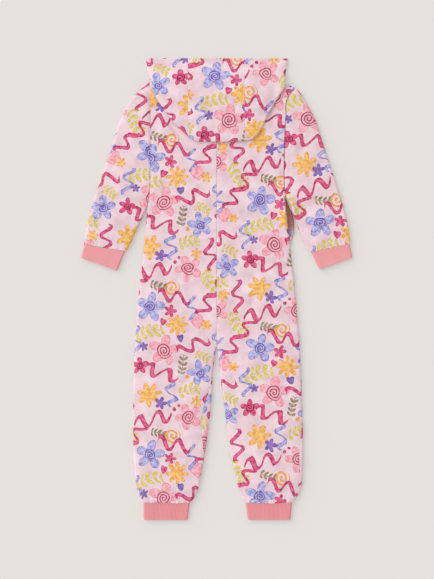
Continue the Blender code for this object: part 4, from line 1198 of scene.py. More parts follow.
@dataclass(frozen=True)
class MouldedNylon:
    """Nylon monofilament of a coil zip, dyed to match: smooth, a little translucent and softly glossy."""

    name: str = "nylon_coil"
    colour: str = "#E58F9D"

    def material(self) -> Material:
        """One colour, slightly uneven in gloss from tooth to tooth.

        Returns:
            The material.
        """
        made, tree, shader = new_material(self.name)
        place = put(tree, COORDINATES, out="Object")
        uneven = put(tree, NOISE, {"Vector": place, "Scale": 500.0})
        rough = put(tree, RANGE, (uneven, 0.3, 0.7, 0.28, 0.42))
        fill(tree, shader, {"Base Color": linear(self.colour), "Roughness": rough, "IOR": 1.53})
        return made


@dataclass(frozen=True)
class SatinNickel:
    """Die-cast zinc, tumbled and plated with satin nickel: grey, softly bright, brighter in scratches."""

    name: str = "satin_nickel_plate"
    colour: str = "#C9C8C6"

    def material(self) -> Material:
        """Fine scratches along the tab change the gloss.

        Returns:
            The material.
        """
        made, tree, shader = new_material(self.name)
        place = put(tree, COORDINATES, out="Object")
        long = put(tree, "ShaderNodeMapping", {"Vector": place, "Scale": (2500.0, 180.0, 800.0)})
        scratch = put(tree, NOISE, {"Vector": long, "Scale": 1.0, "Detail": 3.0})
        rough = put(tree, RANGE, (scratch, 0.3, 0.7, 0.24, 0.44))
        bump = put(tree, BUMP, {"Strength": 0.15, "Distance": 0.03 * MM, "Height": scratch})
        fill(tree, shader, {"Base Color": linear(self.colour), "Metallic": 1, "Roughness": rough,
                            "Normal": bump})
        return made


@dataclass(frozen=True)
class SewingThread:
    """Spun polyester thread, two plies twisted: matt, a shade deeper than the cloth."""

    name: str = "polyester_thread"
    colour: str = "#EFC3CB"

    def material(self) -> Material:
        """Fine twisted plies as bump.

        Returns:
            The material.
        """
        made, tree, shader = new_material(self.name)
        place = put(tree, COORDINATES, out="Object")
        ply = put(tree, NOISE, {"Vector": place, "Scale": 1800.0, "Detail": 1.0})
        bump = put(tree, BUMP, {"Strength": 0.4, "Distance": 0.08 * MM, "Height": ply})
        fill(tree, shader, {"Base Color": linear(self.colour), "Roughness": 0.7, "Normal": bump})
        return made


@dataclass
class Wardrobe:
    """All materials of the garment, made once."""

    fleece: Material = field(default_factory=BrushedFleece(
        "printed_polar_fleece", "#F4DEE5", "#E2C5D0", pattern=GardenPrint()).material)
    reverse: Material = field(default_factory=BrushedFleece(
        "polar_fleece_reverse", "#FAEDEF", "#F4DFE3", tuft=2.4).material)
    tape: Material = field(default_factory=WovenTape().material)
    nylon: Material = field(default_factory=MouldedNylon().material)
    nickel: Material = field(default_factory=SatinNickel().material)
    thread: Material = field(default_factory=SewingThread().material)


@dataclass
class BodyPanel:
    """One back or front panel, neck to ankle, its edges rolled where they meet a side seam or an inseam."""

    side: Side
    face: Face
    lie: Lie
    origin: tuple
    columns: int = 58
    seam_dips: tuple = (0.2, 0.6)  # depths along the centre seam and along the side seams
    armhole_dips: tuple = (1.4, 0.4)  # depths along the left and the right armhole
    dip_width: float = 4.5
    puckers: tuple = (0.35, 15.0, 7.0)  # height, pitch and width of the centre seam's puckers
    zip_rise: float = 1.9
    pushed: tuple = (-60.0, -8.0)  # from where to where beside its edge the cloth is pushed out
    on_floor: tuple = (5.6, 2.2)  # heights between which cloth begins to be pushed out with the rest
    painted_shade_levels: tuple = (216.0, 208.0)  # levels between which the painted shade begins
    squared: float = 22.0  # distance above the ankle over which the edges are squared up to it
    beside_seam: float = 10.0  # length of cloth with columns of its own beside a back panel's seam
    close_rows: tuple = (7.0, 1.2)  # how far below a turn in an edge its close rows begin, and their step
    begins: float = 6.0  # distance below the underarm and the crotch over which an edge starts to roll
    neck_curl: tuple = (66.0, 80.0)  # where the flat neckline goes over into the rolled shoulder seam
    bent_from: float = 360.0  # level above which the rows bend to the neckline and the shoulder
    beside_zip: tuple = (16.0, 30.0)  # how far from the zip the cloth still rises with it

    def levels(self) -> Array:
        """Levels of the rows, closer at the underarm, the crotch and the ankle.

        Returns:
            Falling levels.
        """
        top = CUT.tip(self.side)[1] - EDGE_RADIUS
        under = CUT.underarm(self.side)
        ankle = CUT.ankle_y + np.array(FINE)
        start, step = self.close_rows
        turns = [at - start + np.arange(0, span, step) for at, span in ((under, 12.0), (CUT.crotch_y, 9.0))]
        main = np.arange(top, ankle[-1] + STEP / 2, -STEP)
        main = main[~np.any([(main > t[0] - 1.5) & (main < t[-1] + 1.5) for t in turns], axis=0)]
        return np.sort(np.concatenate([main, ankle, *turns]))[::-1]

    def edge_columns(self, rail: Array, partner: Array, curl: Array,
                     wrap: Array) -> tuple[Array, Array, Array]:
        """Columns from inside an edge out to its seam, following the roll of the cloth.

        Args:
            rail: Plan line of the folded edge.
            partner: Plan line of the panel's other edge.
            curl: 1 where the edge is rolled, 0 where it is flat.
            wrap: How far past the edge's middle the seam has rolled on to the back.

        Returns:
            Points, rough normals and distances from the seam.
        """
        level = np.stack([np.sign(rail[:, 0] - partner[:, 0]), np.zeros(len(rail))], axis=-1)
        slant = (curl * smoothstep(CUT.ankle_y, CUT.ankle_y + self.squared, rail[:, 1]))[:, None]
        normal = unit(plan_normals(rail, partner) * slant + level * (1.0 - slant))
        rolled = np.maximum(wrap, 0.0) * curl
        if self.face is Face.FRONT:
            end, start = QUARTER + rolled, np.zeros(len(rail))
        else:
            end = QUARTER - rolled - SEAM * curl
            start = end - self.beside_seam
        rest = np.linspace(1.0, 0.0, 9)[None, 1:]
        away = np.concatenate([np.broadcast_to(FINE, (len(rail), len(FINE))),
                               FINE[-1] + (1.0 - rest) * (end - start - FINE[-1])[:, None]], axis=1)[:, ::-1]
        out, down, angle = roll(end[:, None] - away, curl[:, None])
        begin = rail - normal * roll(np.array(QUARTER), curl)[0][:, None]
        plan = begin[:, None, :] + normal[:, None, :] * out[..., None]
        points = np.concatenate([plan, down[..., None]], axis=-1)
        turned = np.concatenate([normal[:, None, :] * np.sin(angle)[..., None], np.cos(angle)[..., None]], -1)
        return points, turned, away

    def sheet(self) -> ClothSheet:
        """The panel's grid: edge columns and straight rows between them, bent to neckline and shoulder.

        Returns:
            The grid.
        """
        levels = self.levels()
        sign = self.side.sign
        outer_x = CUT.side_x(self.side, levels)
        middle_x = np.full(len(levels), sign * SEAM / 2)
        if self.face is Face.FRONT:
            apart = smoothstep(CUT.zip_end_y - 10.0, CUT.zip_end_y + 2.0, levels)
            middle_x = sign * (SEAM / 2 + (CUT.zip_half_gap - SEAM / 2) * apart)
        inner_x = np.where(levels >= CUT.crotch_y, middle_x, CUT.inseam_x(self.side, levels))
        outer_rail = np.stack([outer_x, levels], axis=-1)
        inner_rail = np.stack([inner_x, levels], axis=-1)
        under = CUT.underarm(self.side)
        outer_curl = smoothstep(under, under - self.begins, levels)
        inner_curl = smoothstep(CUT.crotch_y, CUT.crotch_y - self.begins, levels)
        outer_wrap = CUT.column(CUT.side_wrap, 1, levels) * (self.side is Side.RIGHT)
        inner_wrap = CUT.column(CUT.inseam_wrap, 1, levels) * (self.side is Side.LEFT)
        inner = [part[:, ::-1] for part in self.edge_columns(inner_rail, outer_rail, inner_curl, inner_wrap)]
        outer = self.edge_columns(outer_rail, inner_rail, outer_curl, outer_wrap)
        share = (np.arange(1, self.columns) / self.columns)[None, :, None]
        middle = inner[0][:, -1:] * (1.0 - share) + outer[0][:, :1] * share
        points = np.concatenate([inner[0], middle, outer[0]], axis=1)
        normals = np.concatenate([inner[1], np.broadcast_to(UP, middle.shape), outer[1]], axis=1)
        edge = np.concatenate([inner[2], np.full(middle.shape[:2], FAR), outer[2]], axis=1)
        points, normals, seams = self.shoulder_rows(points, normals, edge, levels)
        above_cuff = np.concatenate([np.full(len(seams) - len(levels), FAR), levels - CUT.ankle_y])
        edge = np.minimum(seams, above_cuff[:, None])
        if self.face is Face.FRONT:
            normals[..., 2] *= -1.0
        else:
            points[..., 2] = 2 * EDGE_RADIUS - points[..., 2]
        points[..., 2] += self.relief(points, seams)
        points[..., 1] -= CUT.droop(points[..., 0], points[..., 1])
        count = inner[0].shape[1]
        made = ClothSheet(points, normals, seam_edge(edge), flat=(count - 1, -count),
                          mirrored=self.face is Face.FRONT, origin=self.origin)
        # The right front panel's cloth is pushed into the armpit gap and marked there for painted shade.
        if self.side is Side.RIGHT and self.face is Face.FRONT:
            made.knit = made.bolt_places()
            self.push_out(made)
        return made

    def push_out(self, made: ClothSheet) -> None:
        """Push the cloth on the floor out into the armpit gap, where there is only shadow, and mark it to be
        painted dark as painted shade.

        Args:
            made: The panel's grid, changed in place.
        """
        y = made.outer[..., 1]
        out = made.outer[..., 0] * self.side.sign - np.abs(CUT.side_x(self.side, y))
        near = smoothstep(*self.pushed, out) * smoothstep(*self.on_floor, made.outer[..., 2])
        made.outer[..., 0] += self.side.sign * CUT.column(CUT.armpit, 1, y) * near
        # Painted shade: how much of the dark colour each point of the pushed-out cloth gets.
        rolled = smoothstep(-EDGE_RADIUS - 1.5, -EDGE_RADIUS + 1.0, out) * smoothstep(*self.painted_shade_levels, y)
        made.crush = CUT.column(CUT.armpit, 2, y) * smoothstep(0.0, 0.25, near) * rolled

    def relief(self, points: Array, edge: Array) -> Array:
        """Height added to the rolled sheet: the lie on top, creases pushed up below, and the zip's rise.

        Args:
            points: Grid of the panel.
            edge: Its distances from the seams.

        Returns:
            Heights.
        """
        x, y, z = points[..., 0], points[..., 1], points[..., 2]
        on_top = np.clip((z - EDGE_RADIUS) / EDGE_RADIUS, 0.0, 1.0)
        below = np.clip((EDGE_RADIUS - z) / EDGE_RADIUS, 0.0, 1.0)
        centre = (y > CUT.crotch_y) & (np.abs(x) < 60.0)
        armhole = (y > CUT.underarm(self.side)) & ~centre
        middle, side = self.seam_dips
        dip = np.where(centre, middle, np.where(armhole, CUT.pick(self.side, *self.armhole_dips), side))
        dip *= bell(edge / self.dip_width)
        added = on_top * (self.lie.upper(x, y) - dip)
        height, pitch, width = self.puckers
        pull = height * np.cos(TAU * y / pitch + 2.0 * np.sin(y / 31.0)) * bell(edge / width)
        added += on_top * pull * centre
        if self.face is Face.FRONT:
            near_zip = 1.0 - smoothstep(*self.beside_zip, np.abs(x))
            along_zip = smoothstep(CUT.zip_end_y - 40.0, CUT.zip_end_y - 10.0, y)
            inside = smoothstep(20.0, 40.0, np.abs(x))
            added += below * (self.lie.lower(x, y) * inside + self.zip_rise * near_zip * along_zip)
        return added

    def shoulder_rows(self, points: Array, normals: Array, edge: Array,
                      levels: Array) -> tuple[Array, Array, Array]:
        """Bend the rows to the neckline and shoulder, and add the rows that roll over the shoulder seam.

        Args:
            points: Grid of the panel.
            normals: Its rough normals.
            edge: Its distances from the seams.
            levels: Levels of its rows.

        Returns:
            The three with their top rows.
        """
        x = points[0, :, 0]
        curl = smoothstep(*self.neck_curl, np.abs(x))
        flat = CUT.top_y(x, self.side, self.face) - roll(np.array(QUARTER), curl)[0]
        points[..., 1] += smoothstep(self.bent_from, levels[0], levels)[:, None] * (flat - levels[0])[None, :]
        away = np.array([0.0, 0.3, 0.8, 1.5, 2.4, 3.6, 5.0, 6.4])[:, None]
        seam = SEAM * curl if self.face is Face.BACK else 0.0 * curl
        out, down, angle = roll((QUARTER - seam)[None, :] - away, curl[None, :])
        rows = np.broadcast_to(points[0], (len(away), *points[0].shape)).copy()
        rows[..., 1] += out
        rows[..., 2] += down
        turned = np.stack([np.zeros(angle.shape), np.sin(angle), np.cos(angle)], axis=-1)
        top_edge = np.minimum(edge[:1], away)
        edge = np.minimum(edge, (QUARTER + levels[0] - levels)[:, None])
        return (np.concatenate([rows, points]), np.concatenate([turned, normals]),
                np.concatenate([top_edge, edge]))


def tube_rings(inner: Array, outer: Array, inner_normals: Array, outer_normals: Array,
               radius: float, spread: Array, turns: int) -> tuple[Array, Array]:
    """Rings of a flattened tube: over the top, a half circle round the outer edge, under, and back.

    A point stands at inner (1 - t) + outer t + n R sin a in plan and R (1 + cos a) high.

    Args:
        inner: Plan line of the inner edge.
        outer: Plan line of the outer edge.
        inner_normals: Its outward plan normals.
        outer_normals: The other's outward plan normals.
        radius: Half the tube's height.
        spread: Fractions of the flat stretch, from the inner edge, at which columns stand.
        turns: Steps in a half circle.

    Returns:
        Points and rough normals (rings, columns, 3); the first column lies in the middle of the inner edge.
    """
    turn, level = np.linspace(0.0, math.pi, turns + 1), np.zeros(len(spread))
    share = np.concatenate([spread, np.ones(turns + 1), spread[::-1], np.zeros(turns + 1)])[None, :, None]
    angle = np.concatenate([level, turn, level + math.pi, turn[::-1]])[None, :, None]
    first_in = share.size - len(turn)
    normals = np.concatenate([np.repeat(outer_normals[:, None], first_in, axis=1),
                              np.repeat(inner_normals[:, None], len(turn), axis=1)], axis=1)
    flat_in, flat_out = inner - inner_normals * radius, outer - outer_normals * radius
    plan = flat_in[:, None] * (1 - share) + flat_out[:, None] * share + normals * radius * np.sin(angle)
    up = np.broadcast_to(np.cos(angle), (*plan.shape[:2], 1))
    points = np.concatenate([plan, radius * (1.0 + up)], axis=-1)
    hints = np.concatenate([normals * np.sin(angle), up], axis=-1)
    return np.roll(points, turns // 2 + 1, axis=1), np.roll(hints, turns // 2 + 1, axis=1)


@dataclass
class Sleeve:
    """Set-in sleeve: a flattened tube from the armhole, whose line it follows, to the wrist."""

    side: Side
    lie: Lie
    origin: tuple
    turn: float
    tuck: float  # how far the sleeve dips beside the armhole seam
    length: float = 385.0
    across: int = 44  # columns over the flat stretch
    turns: int = 10  # steps round each fold
    square: tuple = (0.07, 0.9)  # share of the length to which, and from which, the ends are squared up
    seam_dip: tuple = (1.0, 4.5)
    tuck_width: float = 8.0

    def sheet(self) -> ClothSheet:
        """The sleeve's rings, squared up at the armhole and the wrist.

        The print runs on round each fold from the upper stretch and starts anew on the lower one.

        Returns:
            The sleeve's grid.
        """
        index = CUT.pick(self.side, 0, 1)
        away = graded(self.length)
        stations = away / self.length
        outer, inner = along(CUT.sleeve_outer[index], stations), along(CUT.sleeve_inner[index], stations)
        at_armhole = smoothstep(self.square[0], 0.0, stations)[:, None]
        at_wrist = smoothstep(self.square[1], 1.0, stations)[:, None]
        slant = 1.0 - at_armhole - at_wrist
        ends = unit(outer[0] - inner[0]) * at_armhole + unit(outer[-1] - inner[-1]) * at_wrist
        outer_normals = unit(plan_normals(outer, inner) * slant + ends)
        inner_normals = unit(plan_normals(inner, outer) * slant - ends)
        rings, normals = tube_rings(inner, outer, inner_normals, outer_normals, EDGE_RADIUS,
                                    np.linspace(0.0, 1.0, self.across + 2)[1:-1], self.turns)
        follow = 1.0 - smoothstep(0.0, 0.3, stations)[:, None]
        seam_x = CUT.side_x(self.side, rings[:1, :, 1]) + self.side.sign * SEAM
        rings[..., 0] += follow * (seam_x - rings[:1, :, 0])
        edge = np.broadcast_to(np.minimum(away, self.length - away)[:, None], rings.shape[:2])
        x, y, z = rings[..., 0], rings[..., 1], rings[..., 2]
        on_top = np.clip((z - EDGE_RADIUS) / EDGE_RADIUS, 0.0, 1.0)
        below = np.clip((EDGE_RADIUS - z) / EDGE_RADIUS, 0.0, 1.0)
        dip = self.seam_dip[0] * bell(away / self.seam_dip[1])
        dip += self.tuck * bell(away / self.tuck_width)
        rings[..., 2] += on_top * (self.lie.upper(x, y) - dip[:, None]) + below * self.lie.lower(x, y)
        top = self.turns // 2 + 1
        under = top + self.across + self.turns
        made = ClothSheet(rings, normals, seam_edge(edge), closed=True, flat=(top, top + self.across - 1),
                          origin=self.origin, turn=self.turn)
        lower = replace(made, flat=(under, under + self.across), mirrored=True).bolt_places()
        made.knit = np.where(np.arange(lower.shape[1])[:, None] >= under, lower, made.bolt_places())
        return made


@dataclass
class Cuff:
    """Rib cuff: a short flattened tube, narrower at its hem, with upright wales raised all round."""

    name: str
    outer: tuple
    inner: tuple
    hem_outer: tuple
    hem_inner: tuple
    radius: float = 4.5
    wale: float = RibKnit.wales
    wale_height: float = 0.2
    fade: float = 3.0  # distance from an edge over which the ribs rise
    unevenness: float = 0.35
    pull: tuple = (1.3, 10.0)  # rise at the gathered cloth, and how far down it reaches
    step: float = 2.4  # between two rings
    per_wale: int = 6  # columns to a wale

    def sheet(self) -> ClothSheet:
        """Rings whose points move out and in by a cosine of the length round the tube, one wave a wale.

        Returns:
            The cuff's grid.
        """
        drop = math.dist(self.outer, self.hem_outer)
        away = graded(drop, self.step)
        t = (away / drop)[:, None]
        outer = np.array(self.outer) * (1 - t) + np.array(self.hem_outer) * t
        inner = np.array(self.inner) * (1 - t) + np.array(self.hem_inner) * t
        width = math.dist(self.outer, self.inner)
        across = unit(outer - inner)
        round_whole = 2 * (width - 2 * self.radius) + TAU * self.radius
        wales = int(round(round_whole / self.wale))
        flat = int(round((width - 2 * self.radius) / self.wale * self.per_wale))
        turns = 2 * int(round(math.pi * self.radius / self.wale * self.per_wale / 2))
        rings, normals = tube_rings(inner, outer, -across, across, self.radius,
                                    np.linspace(0.0, 1.0, flat + 1)[1:-1], turns)
        steps = np.linalg.norm(np.roll(rings, -1, axis=1) - rings, axis=-1)
        lengths = np.concatenate([np.zeros((len(rings), 1)), np.cumsum(steps, axis=1)[:, :-1]], axis=1)
        share = lengths / np.sum(steps, axis=1, keepdims=True)
        edge = np.broadcast_to(np.minimum(away, drop - away)[:, None], share.shape)
        held = smoothstep(0.0, self.fade, edge)
        wave = 0.5 * (np.cos(TAU * wales * share) - 1.0) * self.wale_height * 2 * held
        easing = self.unevenness * np.sin(TAU * share * 5.0 + 0.8) * t
        up = normals[..., 2] > 0.9
        pulled = self.pull[0] * np.exp(-away / self.pull[1])[:, None]
        rings = rings + normals * (wave + (easing + pulled) * up)[..., None]
        rings[..., 1] -= CUT.droop(rings[..., 0], rings[..., 1]) * smoothstep(drop, 0.0, away)[:, None]
        rings[..., 2] = np.maximum(rings[..., 2], 0.0)
        return ClothSheet(rings, normals, edge, closed=True, knit=self.wale_places(share, away, wales))

    def wale_places(self, share: Array, away: Array, wales: int) -> Array:
        """Place on the knit: wales counted round the tube times their pitch, and the depth down it."""
        u = np.concatenate([share, np.ones((len(share), 1))], axis=1) * wales * self.wale
        return np.stack(np.broadcast_arrays(u, away[:, None]), axis=-1) * MM


@dataclass
class Hood:
    """Three-panel hood turned down on the back: doubled, folded along its crown and its slanting sides."""

    lie: Lie
    low: float = 10.1
    fold_radius: float = 3.6
    rim_top: float = 6.6
    seam_gap: float = 0.1
    seam_left: float = -65.9
    seam_right: float = 64.1
    rims: tuple = ((-164.8, 531.3), (163.4, 530.6))
    folds: tuple = (
        ((-150, 464.5), (-144.1, 448.7), (-133, 430), (-122.7, 414.2), (-99.7, 383.6),
         (-76.7, 360.6), (-65.9, 350.6)),
        ((157.5, 464.5), (139.5, 437.2), (126, 415), (115.1, 395.1), (106.5, 375), (94.5, 354.5),
         (80.5, 342.8), (64.1, 339.4)),
    )
    crown: tuple = ((-65.9, 350.6), (-57.4, 343.4), (-44, 338.8), (-30.7, 337.6), (38.3, 337.6),
                    (64.1, 339.4))
    hems: tuple = (
        ((-7, 437), (-15, 470), (-40, 500), (-82, 518), (-125, 526), (-164.8, 530)),
        ((7, 437), (15, 470), (40, 500), (82, 517), (125, 525), (162.8, 529)),
    )
    feet: tuple = (153.5, 157.0)
    creases: tuple = (
        Crease(-140, 500, -84, 386, 12, 1.8, 0.06), Crease(140, 498, 92, 378, 12, 1.8, -0.06),
        Crease(-118, 512, -58, 372, 13, 1.1, 0.05), Crease(116, 508, 60, 366, 13, 1.1, -0.05),
        Crease(-163, 518, -134, 432, 3.4, 1.5, 0.0), Crease(-36, 360, 30, 356, 11, 1.1, 0.05),
        Crease(-96, 470, 84, 476, 15, 1.0, 0.04),
    )
    hem_rows: tuple = (0.0, 0.3, 0.8, 1.5, 2.4, 3.6, 4.8, 5.7, 6.5, 7.3, 8.2, 9.6, 11.6)
    hem_line: float = 6.5
    furrow: tuple = (0.55, 1.1)  # depth and width of the furrow along the stitched hem
    seam_dip: tuple = (0.35, 4.0)
    rows: tuple = (48, 13, 26)  # rows down the top layer, round the fold and back up
    fall: tuple = (4.0, 36.0)  # where before the shoulder the top layer eases down, and how long
    turned: float = 0.06  # share of a side panel's width that is turned down
    turn_radius: float = 3.6
    inside: tuple = (40.0, 520.0)  # a place within the hood, which the normals of its folds point away from
    before_seam: float = 3.1  # how far before the shoulder seam the under layer ends
    climbs: tuple = (79.0, 84.0, 140.0, 145.0)  # where a wing climbs to the shoulder seam and comes down
    wing_gap: float = 9.0  # how far a wing on the floor keeps from the seam
    wing_foot: tuple = (1.6, 2.74)  # how much nearer its foot stands, and how far its climb ends before it
    neck_corner: tuple = (64.0, 72.0)  # where the neckline goes over into the shoulder seam
    past_shoulder: tuple = (484.0, 497.0)  # levels between which the free edge begins to turn down
    crown_puff: tuple = (2.6, 44.0)
    puff: HeightField = field(init=False)

    def __post_init__(self) -> None:
        """Work out how the top layer swells between the rim and the folds."""
        parts = [self.rims[0], *self.folds[0], *self.crown[1:-1], *self.folds[1][::-1], self.rims[1]]
        outline = along(tuple(parts), np.linspace(0.0, 1.0, 160))
        self.puff = puffed(outline, *self.crown_puff)

    def rim(self, x: Array) -> Array:
        """The rim: plan points on the straight line between its two corners."""
        (x0, y0), (x1, y1) = self.rims
        return np.stack([x, y0 + (y1 - y0) / (x1 - x0) * (x - x0)], axis=-1)

    def squared(self, normals: Array, weight: Array) -> Array:
        """Plan normals turned straight down the back by a weight from 0 to 1."""
        return unit(normals * (1 - weight)[:, None] + np.array([0.0, -1.0]) * weight[:, None])

    @property
    def top(self) -> float:
        """Upper face of the top layer where it lies level."""
        return self.low + 2 * self.fold_radius

    def height(self, x: Array, y: Array, side: Side) -> Array:
        """Upper face of the top layer: level on the back, then eased down beyond the shoulders."""
        past = np.clip((y - CUT.shoulder_y(x, side) + self.fall[0]) / self.fall[1], 0, 1)
        return self.top + (self.rim_top - self.top) * (0.6 * past + 0.4 * smoothstep(0, 1, past))

    def layers(self, rim: Array, fold: Array, fold_normals: Array, end: Array,
               side: Side, across: Array) -> ClothSheet:
        """Rows of one panel: rim, top layer, half circle of the fold, under layer, up to its end line.

        Args:
            rim: Plan points of the rim.
            fold: Plan points of the folded edge.
            fold_normals: Outward plan normals there.
            end: Plan points at which the under layer ends.
            side: Side whose shoulder the panel passes.
            across: Distance of every column from the panel's nearest side edge.

        Returns:
            The panel's grid.
        """
        flat = fold - fold_normals * self.fold_radius
        length = np.linalg.norm(flat - rim, axis=-1)
        near = np.array(self.hem_rows)[:, None] / length[None, :]
        rest = np.linspace(0.0, 1.0, self.rows[0])[1:, None]
        t = np.concatenate([near, near[-1:] + (1.0 - near[-1:]) * rest])[..., None]
        top = rim[None] * (1 - t) + flat[None] * t
        x, y = top[..., 0], top[..., 1]
        from_rim = t[..., 0] * length[None, :]
        hem = self.furrow[0] * bell((from_rim - self.hem_line) / self.furrow[1])
        deep = sum(crease.depth_at(x, y) for crease in self.creases) * smoothstep(4.0, 16.0, from_rim)
        top_z = self.height(x, y, side) + self.lie.rise(x, y) + self.puff.at(x, y) - hem - deep
        top = np.concatenate([top, top_z[..., None]], axis=-1)
        angle = np.linspace(0.0, math.pi, self.rows[1])[1:, None, None]
        turned = flat[None] + fold_normals[None] * self.fold_radius * np.sin(angle)
        cosine = np.broadcast_to(np.cos(angle), (*turned.shape[:2], 1))
        x, y = flat[:, 0], flat[:, 1]
        swollen = top_z[-1] - self.height(x, y, side) - self.lie.rise(x, y)
        bend_z = self.low + (1 + cosine[..., 0]) * (self.fold_radius + swollen[None, :] / 2)
        bend_z += self.lie.rise(turned[..., 0], turned[..., 1])
        turned = np.concatenate([turned, bend_z[..., None]], axis=-1)
        t = np.linspace(0.0, 1.0, self.rows[2])[1:, None, None]
        low = flat[None] * (1 - t) + end[None] * t
        low_z = self.low + self.lie.rise(low[..., 0], low[..., 1])
        low = np.concatenate([low, low_z[..., None]], axis=-1)
        hints = np.concatenate([np.broadcast_to(UP, top.shape),
                                np.concatenate([fold_normals[None] * np.sin(angle), cosine], axis=-1),
                                np.broadcast_to(-UP, low.shape)])
        to_end = np.linalg.norm(low[..., :2] - end[None], axis=-1)
        edge = np.concatenate([from_rim, np.full(turned.shape[:2], FAR), to_end])
        edge = np.minimum(edge, seam_edge(across)[None, :])
        grid = np.concatenate([top, turned, low])
        depth, width = self.seam_dip
        grid[..., 2] -= depth * bell(across[None, :] / width) * np.clip(hints[..., 2], 0, 1)
        return ClothSheet(grid, hints, edge, flat=(0, len(top) - 1), by_rows=False)

    def centre(self) -> ClothSheet:
        """Centre strip, from the rim down the back, round the crown and up under to the nape.

        Returns:
            The grid.
        """
        low_x, high_x = self.seam_left + self.seam_gap / 2, self.seam_right - self.seam_gap / 2
        away = graded(high_x - low_x)
        x = low_x + away
        rim = self.rim(x)
        fold = np.stack([x, CUT.column(self.crown, 1, x)], axis=-1)
        across = np.minimum(away, away[-1] - away)
        normals = self.squared(plan_normals(fold, rim), smoothstep(8.0, 0.0, across))
        end = np.stack([x, CUT.top_y(x, Side.LEFT, Face.BACK)], axis=-1)
        made = self.layers(rim, fold, normals, end, Side.LEFT, across)
        made.origin = (41.0, 152.0)
        return made

    def side_panel(self, side: Side) -> ClothSheet:
        """Side panel, from the rim over the slanting fold and back under, its free edge turned down.

        Args:
            side: Side of the hood.

        Returns:
            The grid.
        """
        index, sign = CUT.pick(side, 0, 1), side.sign
        seam_x = CUT.pick(side, self.seam_left, self.seam_right) + sign * self.seam_gap / 2
        width = abs(self.rims[index][0] - seam_x)
        strip = self.turned * width
        away = np.concatenate([np.linspace(0.0, strip, 9)[:-1], strip + graded(width - strip)[5:]])
        a = away / width
        rim = self.rim(self.rims[index][0] * (1 - a) + seam_x * a)
        fold = along(self.folds[index], a)
        fold[:, 0] += sign * self.seam_gap / 2 * a
        inside = np.array([sign * self.inside[0], self.inside[1]])
        normals = self.squared(plan_normals(fold, inside), smoothstep(0.7, 1.0, a))
        flat = fold - normals * self.fold_radius
        end_x = flat[:, 0] + (seam_x - flat[-1, 0]) * a
        reach = np.abs(end_x)
        end_y = np.where(reach < CUT.neck_half_width - 4.0, CUT.top_y(end_x, side, Face.BACK),
                         CUT.shoulder_y(end_x, side) - self.before_seam)
        made = self.layers(rim, fold, normals, np.stack([end_x, end_y], axis=-1), side,
                           np.minimum(width - away, away + 1.0))
        made.origin = CUT.pick(side, (96.0, 20.0), (12.0, 232.0))
        self.turn_down(made, a, sign)
        return made

    def turn_down(self, made: ClothSheet, a: Array, sign: float) -> None:
        """Turn the top layer's free edge down over a quarter circle, above the shoulder.

        Args:
            made: The side panel's grid, changed in place.
            a: Fraction of every column from the free edge to the seam.
            sign: Direction of the free edge along X.
        """
        rows = len(self.hem_rows) + self.rows[0] - 1
        start = made.outer[:rows, :1].copy()
        radius = (start[..., 2] - SEAM) / 2
        turning = a < self.turned
        angle = (math.pi / 2 * (1.0 - a[turning] / self.turned))[None, :]
        x = start[..., 0] + sign * self.turn_radius * (np.sin(angle) - 1.0)
        z = start[..., 2] - radius * (1.0 - np.cos(angle))
        turned = np.stack(np.broadcast_arrays(x, start[..., 1], z), axis=-1)
        tilt = np.stack(np.broadcast_arrays(sign * np.sin(angle), 0.0 * x, np.cos(angle)), axis=-1)
        weight = smoothstep(*self.past_shoulder, start[..., 1])[..., None]
        span = (slice(0, rows), slice(0, int(turning.sum())))
        made.outer[span] = made.outer[span] * (1 - weight) + turned * weight
        made.hint[span] = made.hint[span] * (1 - weight) + tilt * weight

    def wing(self, side: Side) -> ClothSheet:
        """Front stretch of a side panel, on the floor from the front neckline and over the shoulder.

        Args:
            side: Side of the hood.

        Returns:
            The grid.
        """
        index = CUT.pick(side, 0, 1)
        sign = side.sign
        first_x = CUT.zip_half_gap + SEAM
        away = graded(self.feet[index] - first_x)
        reach = first_x + away
        foot_x = sign * reach
        hem = along(self.hems[index], away / away[-1])
        neck = CUT.top_y(foot_x, side, Face.FRONT) + SEAM
        near_neck = 1.0 - smoothstep(*self.neck_corner, reach)
        seam_line = neck * near_neck + CUT.shoulder_y(foot_x, side) * (1.0 - near_neck)
        climb = smoothstep(*self.climbs[:2], reach) * (1.0 - smoothstep(*self.climbs[2:], reach))
        nearer, before = self.wing_foot
        foot = self.wing_gap - nearer * (1.0 - climb)
        first_y = seam_line + (1.0 - near_neck) * (foot * (1 - climb) - before * climb)
        second_y = seam_line + self.wing_gap * (1.0 - near_neck) + near_neck * 0.25 * (hem[:, 1] - seam_line)
        zero = np.zeros(len(reach))
        first = np.stack([foot_x, first_y, self.low * climb], axis=-1)
        second = np.stack([foot_x * 0.9 + hem[:, 0] * 0.1, second_y, zero], axis=-1)
        last = np.concatenate([hem, zero[:, None]], axis=-1)
        up = np.array([0.0, 0.3, 0.6, 0.8, 0.9, 0.96, 0.99])[:, None, None]
        t = np.concatenate([np.linspace(0.0, 1.0, 16)[:-1], 1.0 - np.array([0.03, 0.015, 0.005, 0.0])])
        t = t[:, None, None]
        grid = np.concatenate([first * (1 - up) + second * up, second * (1 - t) + last * t])
        hint = np.broadcast_to([0.0, 0.3, -1.0], grid.shape)
        to_hem = np.linalg.norm(grid - last[None], axis=-1)
        edge = np.minimum(to_hem, np.minimum(away, away[-1] - away)[None, :])
        return ClothSheet(grid, hint, edge, by_rows=False, mirrored=True,
                          origin=CUT.pick(side, (140.0, 60.0), (70.0, 300.0)))


